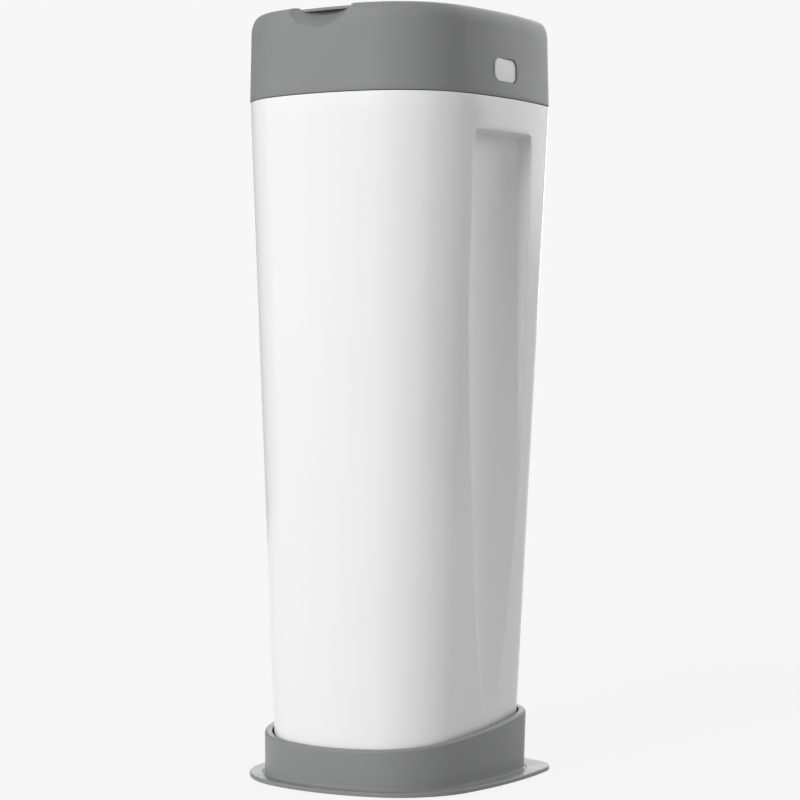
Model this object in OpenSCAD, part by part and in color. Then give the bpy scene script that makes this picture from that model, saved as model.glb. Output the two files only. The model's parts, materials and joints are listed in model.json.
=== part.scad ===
// Nappy bin: a white tub that tapers down into a slant-rimmed grey base, with a hinged
// grey head, a flip lid, and a film cassette over a clamp with two sprung jaws.
// Millimetres. +Z is up, the front faces -Y, and the origin is the middle of the
// footprint on the floor. Every outline follows one plan curve, written as arcs.

/* [Plan of the body at the seam] */
// Radius of the front curve
front_r = 186; // [150:1:240]
// Angle that the front curve turns, either side of the middle
front_angle = 16.7; // [12:0.1:22]
// Radius of the front corners
front_corner_r = 81.4; // [70:0.1:95]
// Angle that a front corner turns
front_corner_angle = 61.1; // [55:0.1:65]
// Radius of the side curves
side_r = 374.6; // [320:0.1:450]
// Angle that a side curve turns
side_angle = 19.4; // [17:0.1:22]
// Radius of the rear corners
rear_corner_r = 34.3; // [32:0.1:45]
// Angle that a rear corner turns
rear_corner_angle = 64; // [58:0.1:68]

/* [Tub] */
// Height of the tub's top edge, where the head meets it
tub_top_z = 594.5; // [520:0.5:660]
// Thickness of the tub's wall
tub_wall = 2.8; // [2:0.1:3.4]
// Half of the tub's width at its foot
foot_half_w = 94.2; // [88:0.1:102]
// How far the foot lies forward of the top
foot_forward = 5.7; // [3:0.1:8]

/* [Hand grips] */
// Distance of the deepest line of a grip from the middle
grip_floor_x = 95.9; // [94:0.1:100]
// Radius of the hollow floor of a grip
grip_floor_r = 122; // [110:1:150]
// Middle of a grip along the depth of the bin
grip_y = 3; // [-2:0.5:8]
// Half of a grip's width
grip_half_w = 44; // [36:0.5:47]
// Half of a grip's width where it runs out
tip_half_w = 1; // [0.8:0.1:1.6]
// Drop from the tub's top edge to the grip's ledge
grip_drop = 28.5; // [24:0.5:40]
// Slope of the ledge and the side walls of a grip
grip_lean = 1.6; // [0.8:0.1:3]

/* [Base] */
// Thickness of the flange and floor of the base
flange_t = 2.2; // [1.8:0.1:3]
// How far the flange stands out past the body above
flange_out = 1; // [0.5:0.1:4]
// Height of the flange's top face
flange_z = 4.6; // [4:0.1:6]
// Height of the base's skirt above the floor
skirt_z = 0.8; // [0.5:0.1:1.5]
// Width of the skirt
skirt_w = 2.4; // [2:0.1:4]
// Taper of the hollow under the flange
hollow_taper = 0.3; // [0.2:0.05:0.6]
// Rounding of the flange's edge
flange_edge_r = 0.7; // [0.4:0.1:1]
// Distance of the rim's outside from the tub
rim_out = 8.3; // [7:0.1:11]
// Gap between the rim and the tub
rim_gap = 1.8; // [1:0.1:3]
// Height of the rim at the front
rim_front_z = 36.8; // [28:0.1:42]
// Height of the rim at the back
rim_rear_z = 61.1; // [50:0.1:64]
// Rounding of the rim's outer edge
rim_edge_r = 2.6; // [1.5:0.1:3.5]
// How far the upstand leans out at its foot
rim_lean = 1; // [0.6:0.1:2]
// Wall of the base's upstand
rim_wall = 3; // [2.4:0.1:3.4]
// Depth of the lip that turns in over the upstand
rim_lip = 4; // [3:0.1:6]
// Number of ribs inside the tub's foot, on each side
rib_count = 4; // [2:1:6]
// Angle of the first rib from the front
rib_from = 22.5; // [15:0.5:30]
// Height of those ribs
rib_h = 13; // [8:0.5:20]
// Thickness of a rib
rib_t = 3; // [2:0.1:4]
// Radius of a foot pad
pad_r = 9; // [7:0.1:12]
// Wall of a foot pad's socket
socket_wall = 1.6; // [1.2:0.1:2.4]
// Distance of the foot pads from the middle across the bin
pad_x = 66; // [50:1:72]
// Distance of the foot pads from the middle along the bin
pad_y = 70; // [50:1:76]

/* [Head] */
// Height of the head above the tub
head_h = 75.5; // [72:0.5:90]
// Wall of the head
head_wall = 2.8; // [2.2:0.1:3.4]
// How far the head's wall leans in over its height
head_lean = 1.6; // [1:0.1:3]
// Gap at the seam between the tub and the head
seam_gap = 0.6; // [0.4:0.1:1]
// Width of the rounding along the top edge
edge_w = 8.1; // [6:0.1:9.5]
// Height of the rounding along the top edge
edge_h = 15.2; // [8:0.1:18]
// Width of the rim round the lid
rim_w = 11.6; // [11.4:0.1:14]
// Chamfer along the rim's inner edge
lip_in = 1; // [0.6:0.1:1.4]
// Width of the ledge that the lid's seal meets
ledge_w = 12; // [10:0.1:13]
// Thickness of that ledge
ledge_t = 6; // [5.6:0.1:7]
// Depth of the ledge below the top
ledge_drop = 13.2; // [12.6:0.1:15]

/* [Finger scoop] */
// Radius of the ball that hollows the scoop
scoop_r = 56.3; // [52:0.1:62]
// Radius of the scoop's outline on the front wall
scoop_outline_r = 50.7; // [46:0.1:51]
// Height of the ball's middle above the top
scoop_rise = 31.7; // [29:0.1:35]

/* [Lid] */
// Gap round the lid
lid_gap = 0.7; // [0.5:0.1:1.2]
// Step from the rim's top down to the lid's top
lid_step = 1; // [0.4:0.1:1.4]
// Thickness of the lid's top
lid_t = 2.6; // [2:0.1:3.2]
// Depth of the lid's skirt
lid_skirt = 8.6; // [7:0.1:9]
// Wall of the lid's skirt
lid_wall = 2.2; // [1.8:0.1:3]
// Rounding of the lid's edge
lid_edge_r = 1.6; // [1:0.1:2.2]
// Radius of the lid's hinge barrel
barrel_r = 7; // [6.4:0.1:7.4]
// Half of the barrel's length
barrel_half = 85.4; // [70:0.1:87]
// Distance of the lid's hinge from the head's back
lid_hinge_in = 33.3; // [32:0.1:38]
// Gap between the barrel and the opening's rear edge
hinge_room_gap = 0.4; // [0.3:0.1:0.8]
// Distance of the lid's rear edge from the opening's rear edge
lid_rear_gap = 4; // [3:0.1:5]
// Gap at the barrel's ends
barrel_end_gap = 1; // [0.6:0.1:1.6]
// Gap under the barrel
barrel_gap = 0.8; // [0.5:0.1:1.2]
// Radius of the lid's hinge pins
lid_pin_r = 2; // [1.6:0.1:2.4]
// Length of a lid hinge pin in the barrel
lid_pin_in = 12; // [8:0.5:18]
// Length of a lid hinge pin in the head
lid_pin_out = 9; // [6:0.5:10]
// Distance of the lid's inner panel from the skirt
panel_in = 3; // [2:0.1:4]
// Distance of the seal from the panel's edge
seal_in = 0.6; // [0.4:0.1:1.2]
// Radius of the posts that hold the panel
post_r = 3; // [2.4:0.1:4]
// Thickness of the lid's inner panel
panel_t = 2; // [1.6:0.1:2.6]
// Width of the lid's seal
seal_w = 4; // [3:0.1:6]
// Share of the seal's width cut back at its lower edges
seal_low_cut = 0.25; // [0.1:0.05:0.4]
// Share of the seal's width cut back at its upper edges
seal_high_cut = 0.2; // [0.1:0.05:0.4]
// Gap between the seal and the ledge below it
seal_gap = 0.3; // [0.2:0.05:0.5]
// Room behind the barrel's middle, where the lid's edge swings down
swing_gap = 9.4; // [9:0.1:11]

/* [Head liner] */
// Radius of the throat
throat_r = 58; // [52:0.5:62]
// Wall of the liner
liner_wall = 2.2; // [1.6:0.1:3]
// Height of the throat's mouth above the cassette
mouth_gap = 2.8; // [2:0.1:5]
// How far the liner stands in from the ledge
liner_lip = 1; // [0.6:0.1:1.6]
// Width of the liner's flange
liner_flange = 17; // [14:0.5:19]

/* [Side buttons] */
// Length of a button
button_w = 33.9; // [28:0.1:38]
// Height of a button
button_h = 20; // [16:0.1:22]
// Rounding of a button's corners
button_corner_r = 6.8; // [5:0.1:8]
// Gap round a button
button_gap = 0.35; // [0.2:0.05:0.6]
// Place of the buttons along the bin
button_y = 2; // [-6:0.5:10]
// Height of the buttons above the seam
button_rise = 23.8; // [22:0.1:28]
// Thickness of a button's cap
button_t = 3.4; // [3:0.1:4]
// How far a button is pressed
button_travel = 3.6; // [3:0.1:4]
// Wall of the pocket
pocket_wall = 1.6; // [1.4:0.1:2]
// Gap between a pressed button's arm and the back of its pocket
press_gap = 1.5; // [0.8:0.1:2]
// Thickness of the latch tongue
tongue_t = 3; // [2.4:0.1:3.6]
// Half of the latch tongue's width
tongue_half = 5; // [4:0.1:6]
// Gap between a latch tongue and its slot
slot_gap = 1; // [0.6:0.1:1.4]
// Height of the pad that joins a latch to its button
pad_h = 5; // [4:0.1:6]
// Reach of the latch nose
nose_w = 2.4; // [2:0.1:3]
// Height of the latch nose
nose_h = 3; // [2.4:0.1:3.6]
// Gap between the latch nose and its catch
catch_gap = 0.4; // [0.3:0.05:0.6]
// Depth of the catch
catch_w = 2.6; // [2:0.1:3.4]
// Height of the catch
catch_h = 1.6; // [1.2:0.1:2.4]
// Mean radius of a button's spring
spring_r = 4.4; // [3.6:0.1:4.8]
// Radius of its wire
spring_wire_r = 0.5; // [0.4:0.05:0.6]
// Curls of the spring
spring_turns = 5; // [4:1:6]
// Height of the spring above the button's middle
spring_rise = 2.4; // [1.6:0.1:3.2]

/* [Head hinge] */
// Distance of the head's hinge from the back
hinge_in = 8.3; // [8:0.1:12]
// Height of the head's hinge above the seam
hinge_rise = 6.2; // [6:0.1:8]
// Radius of the hinge's knuckles
knuckle_r = 5.6; // [5:0.1:5.8]
// Half of the length of the head's knuckle
knuckle_half = 33; // [24:0.5:38]
// Width of each lug on the collar
lug_w = 8; // [6:0.5:10]
// Gap between a lug and the knuckle
lug_gap = 0.4; // [0.3:0.1:0.8]
// Room cut in the head round the lugs
lug_room = 1.6; // [1:0.1:2.4]
// Height of the relief under the head's back, which lets it tip
relief_h = 4; // [3:0.1:5]
// Radius of the head's hinge pin
hinge_pin_r = 2; // [1.6:0.1:2.4]
// Clearance round every hinge pin
pin_clear = 0.05; // [0.02:0.01:0.09]

/* [Collar] */
// Gap between the collar and the tub
seat_gap = 0.4; // [0.3:0.1:0.8]
// Thickness of the collar's floor
collar_t = 3; // [2.6:0.1:4]
// Wall of the collar
collar_wall = 2.2; // [1.8:0.1:3]
// Drop from the tub's edge to the collar's edge
collar_drop = 2.5; // [2:0.1:4]

/* [Film cassette] */
// Gap between the cassette's cover and a pressed latch
cassette_room = 6.1; // [4:0.1:9]
// Step of the tray's eye outside the cover's eye
eye_lip = 1; // [0.6:0.1:1.6]
// Radius of the cassette's eye
eye_r = 57; // [52:0.5:60]
// Depth of the bead round the cover's eye
eye_bead = 2; // [1:0.1:3]
// Height of the cassette
cassette_h = 26; // [22:0.5:27]
// Place of the cassette along the bin
cassette_y = 2; // [0:0.5:4]
// Wall of the cassette
cassette_wall = 1.6; // [1.2:0.1:2.2]
// Depth of the cassette cover's skirt
cover_skirt = 7; // [5:0.5:9]
// Wall of that skirt
cover_wall = 1.2; // [1:0.1:1.6]
// Chamfer along the cover's upper edges
cover_edge = 1; // [0.6:0.1:1.4]
// Wall of the ring that seats the cassette
seat_wall = 1.6; // [1.2:0.1:2]
// Height of that ring
seat_h = 5; // [3:0.5:7]
// Slot that the film comes out of
film_slot = 6; // [4:0.5:8]
// Room over the packed film
film_room = 2.4; // [1.6:0.1:4]
// Pleats of the packed film
pleats = 9; // [6:1:12]
// Depth of a pleat
pleat_d = 1.2; // [0.6:0.1:2]

/* [Clamp] */
// Half of the clamp's way through, across the bin
clamp_x = 51.5; // [48:0.5:54]
// Half of the clamp's way through, along the bin
clamp_y = 46; // [40:0.5:48]
// Wall of the clamp's frame
clamp_wall = 2.6; // [2:0.1:3.4]
// Width of the frame's flange
clamp_flange = 11; // [10:0.5:14]
// Width of the flange at the frame's front and back
clamp_edge = 2; // [1:0.1:4]
// Thickness of that flange
clamp_plate_t = 3; // [2.6:0.1:4]
// Depth of the frame below its flange
clamp_h = 32; // [28:0.5:40]
// Depth of the jaws' hinges below the flange
jaw_drop = 20; // [16:0.5:22]
// Wall of the bosses that the screws cut into
boss_wall = 2.4; // [1.8:0.1:3]
// How far the pins' bosses stand out from the frame
boss_out = 1.6; // [1:0.1:2.4]
// Wall of those bosses beyond the jaws' barrels
hinge_boss = 1; // [0.8:0.1:1.6]
// Distance of a jaw's hinge from the frame's side
jaw_in = 6.5; // [6:0.1:8]
// Thickness of a jaw
jaw_t = 2.4; // [2:0.1:3]
// Radius of the jaws' lips
lip_r = 3; // [2.4:0.1:4]
// Gap between the two lips
lip_gap = 0.6; // [0.4:0.1:1]
// Gap between a jaw's ends and the frame
jaw_end_gap = 0.8; // [0.5:0.1:1.2]
// Room between a jaw and its spring
jaw_notch = 1.4; // [1:0.1:2]
// Radius of a jaw's barrel
jaw_barrel_r = 4; // [3.6:0.1:4.4]
// Radius of a jaw's pin
jaw_pin_r = 1.6; // [1.4:0.1:1.8]
// Number of ribs under a jaw
jaw_ribs = 4; // [2:1:6]
// Share of a jaw's length that the ribs span
jaw_rib_share = 0.8; // [0.6:0.05:0.9]
// Thickness of a jaw's rib
jaw_rib_t = 1.6; // [1.2:0.1:2.4]
// Depth of a jaw's ribs
jaw_rib_h = 5; // [3:0.5:6]
// Mean radius of a jaw's spring
jaw_spring_r = 3.6; // [3.4:0.1:3.8]
// Radius of its wire
jaw_wire_r = 0.6; // [0.5:0.05:0.7]
// Curls of a jaw's spring
jaw_turns = 4; // [3:1:5]
// Gap between the curls of a jaw's spring
jaw_coil_gap = 0.55; // [0.5:0.05:0.8]
// Thickness of the rib that holds a jaw's spring
anchor_t = 2; // [1.6:0.1:3]
// Gap between the ends of a spring and its seats
spring_seat_gap = 0.3; // [0.2:0.05:0.5]

/* [Cutter] */
// Length of the film cutter
cutter_w = 40; // [32:1:50]
// Share of the cutter's width that slopes down
cutter_slope_share = 0.4; // [0.3:0.05:0.5]
// Share of the room before the cassette that the film cutter fills
cutter_share = 0.5; // [0.4:0.05:0.7]
// Height of the film cutter
cutter_h = 17; // [14:0.5:18]
// Height of the cutter's slot above its foot
cutter_floor = 6; // [4:0.5:8]
// Wall at the closed end of the slot
cutter_wall = 5; // [3:0.5:7]
// Slope of the cutter's open end
cutter_slope = 30; // [20:1:40]
// Width of the cutter's slot
cutter_slot = 1.6; // [1.2:0.1:2.4]
// Thickness of the blade
blade_t = 0.5; // [0.4:0.1:0.8]
// Length and height of the blade's tip
blade_tip = 2; // [1:0.5:4]

/* [Screws] */
// Radius of a screw's shank
screw_r = 1.5; // [1.2:0.1:1.8]
// Radius of a screw's head
screw_head_r = 3; // [2.6:0.1:3.4]
// Height of a screw's head
screw_head_h = 1.6; // [1.4:0.1:2]
// Length of a screw below its head
screw_l = 11; // [10:0.5:14]

/* [Hidden] */
$fn = 48;
grey = "#8d8f92";
light_grey = "#c6c8c9";
white = "#f4f4f2";
steel = "#b9bdc2";
rubber = "#3c3e40";
film = "#dfe6ea";
eps = 0.01;
fuse = 0.4;
over = 1;
screw_clear = 0.05;

// ---- The plan curve: arcs, each starting at an angle of the outward normal ----

arc_r = [front_r, front_corner_r, side_r, rear_corner_r];
arc_start = [
    0,
    front_angle,
    front_angle + front_corner_angle,
    front_angle + front_corner_angle + side_angle,
    front_angle + front_corner_angle + side_angle + rear_corner_angle
];
arc_steps = [3, 9, 5, 9, 4];

// From one point of an arc to another, by the normals' angles
function arc_step(r, from, to) = r * [sin(to) - sin(from), cos(from) - cos(to)];
function arc_end(i) = i < 0 ? [0, 0]
    : arc_end(i - 1) + arc_step(arc_r[i], arc_start[i], arc_start[i + 1]);

// The rear curve's radius is the one that brings the outline back to the middle
rear_r = arc_end(3).x / sin(arc_start[4]);
plan_r = concat(arc_r, [rear_r]);
plan_depth = arc_end(3).y + arc_step(rear_r, arc_start[4], 180).y;
rear_y = plan_depth / 2;

function arc_of(a, i = 4) = i == 0 || a >= arc_start[i] ? i : arc_of(a, i - 1);
function normal(a) = [sin(a), -cos(a)];

// Point of the plan curve with its normal at angle a from the front, moved out by d
function plan_pt(a, d = 0) = let (i = arc_of(a))
    [0, -rear_y] + arc_end(i - 1) + arc_step(plan_r[i], arc_start[i], a) + d * normal(a);

plan_half_w = plan_pt(90).x;
plan_angles = [
    for (i = [0:4])
        let (last = i == 4 ? 180 : arc_start[i + 1], n = arc_steps[i])
            for (k = [0:(i == 4 ? n : n - 1)]) arc_start[i] + (last - arc_start[i]) * k / n
];

function clip(p, rear) = [p.x, min(p.y, rear)];
function lift(p, z) = [p.x, p.y, z];
function mix(p, q, t) = p * (1 - t) + q * t;

// A whole ring from its right half, which runs from the front round to the back
function whole(half) = concat(
    half, [for (i = [len(half) - 2:-1:1]) [-half[i].x, half[i].y, half[i].z]]);

// A level ring of the plan curve, cut straight across at a rear limit
function plan_ring(z, d, rear = plan_depth) =
    whole([for (a = plan_angles) lift(clip(plan_pt(a, d), rear), z)]);

// ---- Solids from rings ----

function band(n, low, high) = [
    for (i = [0:n - 1])
        let (j = (i + 1) % n)
            for (f = [[low + i, high + i, high + j], [low + i, high + j, low + j]]) f
];

// A closed solid: rings from the bottom up, with a flat face on the first and the last
module loft(rings) {
    n = len(rings[0]);
    m = len(rings);
    polyhedron(
        points = [for (r = rings) each r],
        faces = concat(
            [for (j = [0:m - 2]) each band(n, j * n, (j + 1) * n)],
            [for (i = [1:n - 2]) [0, i, i + 1]],
            [for (i = [1:n - 2]) [(m - 1) * n, (m - 1) * n + i + 1, (m - 1) * n + i]]
        ),
        convexity = 8
    );
}

// A ring-shaped solid: rings up the outside, then down the inside
module tube_loft(rings) {
    n = len(rings[0]);
    m = len(rings);
    polyhedron(
        points = [for (r = rings) each r],
        faces = [for (j = [0:m - 1]) each band(n, j * n, ((j + 1) % m) * n)],
        convexity = 8
    );
}

module ring_tube(inner_r, outer_r, h) {
    difference() {
        cylinder(r = outer_r, h = h);
        translate([0, 0, -over]) cylinder(r = inner_r, h = h + 2 * over);
    }
}

module rounded_plate(w, h, r, t) {
    linear_extrude(height = t) rounded_outline(w, h, r);
}

module rounded_outline(w, h, r) {
    square([w - 2 * r, h], center = true);
    square([w, h - 2 * r], center = true);
    for (x = [-1, 1], y = [-1, 1])
        translate([x * (w / 2 - r), y * (h / 2 - r)]) circle(r = r);
}

module both_sides() {
    children();
    mirror([1, 0, 0]) children();
}

module x_rod(r, x0, x1, y, z) {
    translate([x0, y, z]) rotate([0, 90, 0]) cylinder(r = r, h = x1 - x0);
}

module y_rod(r, y0, y1, x, z) {
    translate([x, y0, z]) rotate([-90, 0, 0]) cylinder(r = r, h = y1 - y0);
}

// ---- Wire springs: one tube of six sides along a helix, with straight ends ----

// Stations of the wire: turn angle, height and slope of the wire
function coil_stations(r, wire, turns, h) = let (
    stub = 2 * wire,
    bend = 1.5 * wire,
    turn = bend / r * 180 / PI,
    low = stub + bend,
    rise = h - 2 * low,
    slope = atan(rise / (turns * 2 * PI * r)),
    sweep = turns * 360
) concat(
    [[0, 0, 90], [0, stub, 90], [turn * 0.3, stub + bend * 0.7, 45]],
    [for (k = [0:turns * 8]) [turn + sweep * k / (turns * 8), low + rise * k / (turns * 8), slope]],
    [[sweep + turn * 1.7, h - stub - bend * 0.7, 45], [sweep + turn * 2, h - stub, 90],
     [sweep + turn * 2, h, 90]]
);
function coil_pt(r, s) = [r * cos(s[0]), r * sin(s[0]), s[1]];
function coil_ring(r, wire, s) = let (
    out = [cos(s[0]), sin(s[0]), 0],
    along = [-sin(s[0]), cos(s[0]), 0],
    across = [along.x * sin(s[2]), along.y * sin(s[2]), -cos(s[2])]
) [for (k = [0:5]) coil_pt(r, s) + wire * (cos(60 * k) * out + sin(60 * k) * across)];

// Least gap of the wire to itself, on its stations more than half a turn apart
function coil_gap(r, wire, turns, h) = let (s = coil_stations(r, wire, turns, h))
    min([for (i = [0:len(s) - 1], j = [i + 5:1:len(s) - 1])
        norm(coil_pt(r, s[i]) - coil_pt(r, s[j]))]) - 2 * wire;

module coil(r, wire, turns, h) {
    loft([for (s = coil_stations(r, wire, turns, h)) coil_ring(r, wire, s)]);
}

// ---- Base ----

tub_foot_z = flange_z;
tub_run = tub_top_z - tub_foot_z;

function foot_share(z) = (tub_top_z - z) / tub_run;
function tub_scale(z) = 1 - (1 - foot_half_w / plan_half_w) * foot_share(z);
function tub_shift(z) = [0, -foot_forward * foot_share(z)];

// Point of the tub's outside at height z, moved out by d
function tub_pt(a, z, d = 0) =
    tub_scale(z) * plan_pt(a) + tub_shift(z) + d * normal(a);

// The base's rim climbs towards the back
function rim_z(y) = rim_front_z + (rim_rear_z - rim_front_z) * (y + rear_y) / plan_depth;
function rim_pt(a, d, drop) = let (
    guess = rim_z(tub_pt(a, (rim_front_z + rim_rear_z) / 2, rim_out).y) - drop
) lift(tub_pt(a, guess, d), guess);
function rim_ring(d, drop) = whole([for (a = plan_angles) rim_pt(a, d, drop)]);
function base_ring(z, d) = whole([for (a = plan_angles) lift(tub_pt(a, z, d), z)]);

ceiling_z = flange_z - flange_t;

module base_tray() {
    color(grey) {
        difference() {
            union() {
                base_dish();
                tub_ribs();
            }
            underside();
        }
    }
}

module base_dish() {
    cap = flange_out - flange_edge_r;
    loft(concat(
        [
            plan_ring(skirt_z, cap),
            plan_ring(skirt_z + flange_edge_r, flange_out),
            plan_ring(flange_z - flange_edge_r, flange_out),
            plan_ring(flange_z, cap),
            base_ring(flange_z, rim_out + rim_lean),
            rim_ring(rim_out, rim_edge_r)
        ],
        [
            for (t = [30, 60, 90])
                rim_ring(rim_out - rim_edge_r * (1 - cos(t)), rim_edge_r * (1 - sin(t)))
        ],
        [
            rim_ring(rim_gap, 0),
            rim_ring(rim_gap, rim_lip - rim_lean),
            rim_ring(rim_out - rim_wall, rim_lip + rim_lean),
            base_ring(flange_z, rim_out + rim_lean - rim_wall)
        ]
    ));
}

// Ribs that hold the tub's foot from inside
module tub_ribs() {
    both_sides() for (k = [0:rib_count - 1]) {
        a = rib_from + (180 - 2 * rib_from) * k / (rib_count - 1);
        p = tub_pt(a, tub_foot_z, -tub_wall - seat_gap);
        translate([p.x, p.y, flange_z - fuse]) rotate([0, 0, a - 90])
            translate([-rib_h, -rib_t / 2, 0]) cube([rib_h, rib_t, rib_h + fuse]);
    }
}

// The hollow under the flange, less its ribs and the sockets of the foot pads
module underside() {
    rib_pitch = pad_y / 2;
    difference() {
        loft([
            plan_ring(skirt_z - over, flange_out - skirt_w),
            plan_ring(ceiling_z, flange_out - skirt_w - hollow_taper)
        ]);
        for (k = [-1:1]) {
            translate([-plan_half_w, k * rib_pitch - rib_t / 4, skirt_z])
                cube([2 * plan_half_w, rib_t / 2, flange_z]);
            translate([k * rib_pitch - rib_t / 4, -plan_depth, skirt_z])
                cube([rib_t / 2, 2 * plan_depth, flange_z]);
        }
        at_pads() translate([0, 0, skirt_z])
            ring_tube(pad_r + seat_gap, pad_r + seat_gap + socket_wall, flange_z);
    }
}

module at_pads() {
    for (x = [-1, 1], y = [-1, 1]) translate([x * pad_x, y * pad_y, 0]) children();
}

module foot_pads() {
    color(rubber) at_pads() {
        cylinder(r = pad_r, h = ceiling_z);
    }
}

// ---- Tub ----

grip_top_z = tub_top_z - grip_drop;
side_from = arc_start[2];
side_to = arc_start[3];
side_middle = plan_pt(side_from) - side_r * normal(side_from);

// Distance of the tub's side from the middle at depth y and height z, moved out by d
function side_x(y, z, d) = let (
    s = tub_scale(z),
    c = s * side_middle + tub_shift(z),
    r = s * side_r + d
) c.x + sqrt(r * r - (y - c.y) * (y - c.y));

// Distance of a grip's hollow floor from the middle
function floor_x(y, d) = grip_floor_x + grip_floor_r
    - sqrt(pow(grip_floor_r - d, 2) - (y - grip_y) * (y - grip_y));

// How far a grip reaches forward (-1) or back (1) at height z, found by halving
function grip_reach(side, z, d, low, high, n = 16) = n == 0 ? low : let (
    m = (low + high) / 2,
    y = grip_y + side * m
) side_x(y, z, d) > floor_x(y, d)
    ? grip_reach(side, z, d, m, high, n - 1)
    : grip_reach(side, z, d, low, m, n - 1);
function reach(side, z, d) =
    max(tip_half_w, grip_reach(side, z, d, 0, grip_half_w - d));

// Height at which the grips run out, found by halving
function grip_tip(low, high, n = 16) = let (m = (low + high) / 2)
    n == 0 ? m : side_x(grip_y, m, 0) > grip_floor_x ? grip_tip(low, m, n - 1)
        : grip_tip(m, high, n - 1);
grip_tip_z = grip_tip(tub_foot_z, grip_top_z);

floor_steps = 8;
function side_pt(y, z, d, open) = let (x = side_x(y, z, d))
    [open ? min(x, floor_x(y, d)) : x, y, z];

// Right half of the tub's outline at height z, with the grip where it is open
function tub_half(z, d, open) = let (
    y0 = tub_pt(side_from, z, d).y,
    y1 = grip_y - reach(-1, z, d),
    y2 = grip_y + reach(1, z, d),
    y3 = tub_pt(side_to, z, d).y,
    lean = min(grip_lean, (y2 - y1) / 4)
) concat(
    [for (a = plan_angles) if (a < side_from - eps) lift(tub_pt(a, z, d), z)],
    [for (y = [y0, (y0 + y1) / 2, y1]) side_pt(y, z, d, false)],
    [for (k = [0:floor_steps])
        side_pt(y1 + lean + (y2 - y1 - 2 * lean) * k / floor_steps, z, d, open)],
    [for (y = [y2, (y2 + y3) / 2, y3]) side_pt(y, z, d, false)],
    [for (a = plan_angles) if (a > side_to + eps) lift(tub_pt(a, z, d), z)]
);
function tub_ring(z, d, open) = whole(tub_half(z, d, open));

// Heights of the rings: close together where a grip's edge curves
grip_levels = [
    for (k = [0:8]) grip_tip_z + (grip_top_z - grip_tip_z) * pow(k / 8, 1.5) / 2
];

module tub_shell() {
    ledge_z = grip_top_z + tub_wall;
    outside = concat(
        [tub_ring(tub_foot_z, 0, true)],
        [for (z = grip_levels) tub_ring(z, 0, true)],
        [
            tub_ring(grip_top_z - grip_lean, 0, true),
            tub_ring(grip_top_z, 0, false),
            tub_ring(tub_top_z, 0, false)
        ]
    );
    inside = concat(
        [
            tub_ring(tub_top_z, -tub_wall, false),
            tub_ring(ledge_z, -tub_wall, false),
            tub_ring(ledge_z - eps, -tub_wall, true)
        ],
        [for (k = [8:-1:0]) tub_ring(grip_levels[k], -tub_wall, true)],
        [tub_ring(tub_foot_z, -tub_wall, true)]
    );
    color(white) tube_loft(concat(outside, inside));
}

// ---- Collar in the tub's top, on the grips' ledges ----

collar_z = grip_top_z + tub_wall;
collar_floor_z = collar_z + collar_t;
collar_top_z = tub_top_z - collar_drop;
hinge_y = rear_y - hinge_in;
hinge_z = tub_top_z + hinge_rise;
screw_x = clamp_x + clamp_flange / 2;
screw_y = clamp_y - clamp_flange / 2;
latch_x = side_x(button_y, tub_top_z, -tub_wall - seat_gap - collar_wall);
tongue_x = latch_x - catch_w - catch_gap - nose_w - tongue_t;
cover_r = tongue_x - button_travel - cassette_room;
cassette_r = cover_r - cover_wall - seat_gap;
seat_r = cassette_r + seat_gap + seat_wall;

function collar_ring(z, d) =
    whole([for (a = plan_angles) lift(tub_pt(a, z, -tub_wall - seat_gap - d), z)]);

module tub_collar() {
    color(white) difference() {
        union() {
            loft([
                collar_ring(collar_z, 0),
                collar_ring(collar_top_z, 0),
                collar_ring(collar_top_z, collar_wall),
                collar_ring(collar_floor_z, collar_wall)
            ]);
            translate([0, cassette_y, collar_floor_z - fuse])
                ring_tube(cassette_r + seat_gap, seat_r, seat_h);
            both_sides() {
                hinge_lug();
                catch_block();
            }
        }
        clamp_way(collar_z - over, collar_t + 2 * over);
        at_clamp_screws() {
            translate([0, 0, collar_z - over])
                cylinder(r = screw_r + screw_clear, h = collar_t + 2 * over);
            translate([0, 0, collar_floor_z - screw_head_h])
                cylinder(r = screw_head_r + screw_clear, h = screw_head_h + over);
        }
        x_rod(hinge_pin_r + pin_clear, -plan_half_w, plan_half_w, hinge_y, hinge_z);
    }
}

module clamp_way(z, h) {
    translate([-clamp_x, -clamp_y, z]) cube([2 * clamp_x, 2 * clamp_y, h]);
}

// A lug that carries one end of the head's hinge pin
module hinge_lug() {
    lug_x = knuckle_half + lug_gap;
    x_rod(knuckle_r, lug_x, lug_x + lug_w, hinge_y, hinge_z);
    translate([lug_x, hinge_y - knuckle_r, collar_floor_z - fuse])
        cube([lug_w, knuckle_r + over, hinge_z - collar_floor_z + fuse]);
}

// The catch that a latch nose clips under, on the collar's side wall
module catch_block() {
    translate([latch_x - catch_w, button_y - tongue_half, collar_top_z - catch_h])
        cube([catch_w + collar_wall / 2, 2 * tongue_half, catch_h]);
}

module at_clamp_screws() {
    for (x = [-1, 1], y = [-1, 1]) translate([x * screw_x, y * screw_y, 0]) children();
}

module screw(top, length) {
    translate([0, 0, top - screw_head_h]) cylinder(r = screw_head_r, h = screw_head_h);
    translate([0, 0, top - screw_head_h - length]) cylinder(r = screw_r, h = length + eps);
}

module clamp_screws() {
    color(steel) at_clamp_screws() screw(collar_floor_z, screw_l);
}

// ---- Clamp under the collar ----

flange_bottom = collar_z - clamp_plate_t;
jaw_z = flange_bottom - jaw_drop;
jaw_x = clamp_x - jaw_in;
barrel_y = clamp_y - jaw_end_gap;
coil_ends = 7;
coil_h = jaw_turns * (2 * jaw_wire_r + jaw_coil_gap) + coil_ends * jaw_wire_r;
spring_room = coil_h / 2 + spring_seat_gap;

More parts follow.
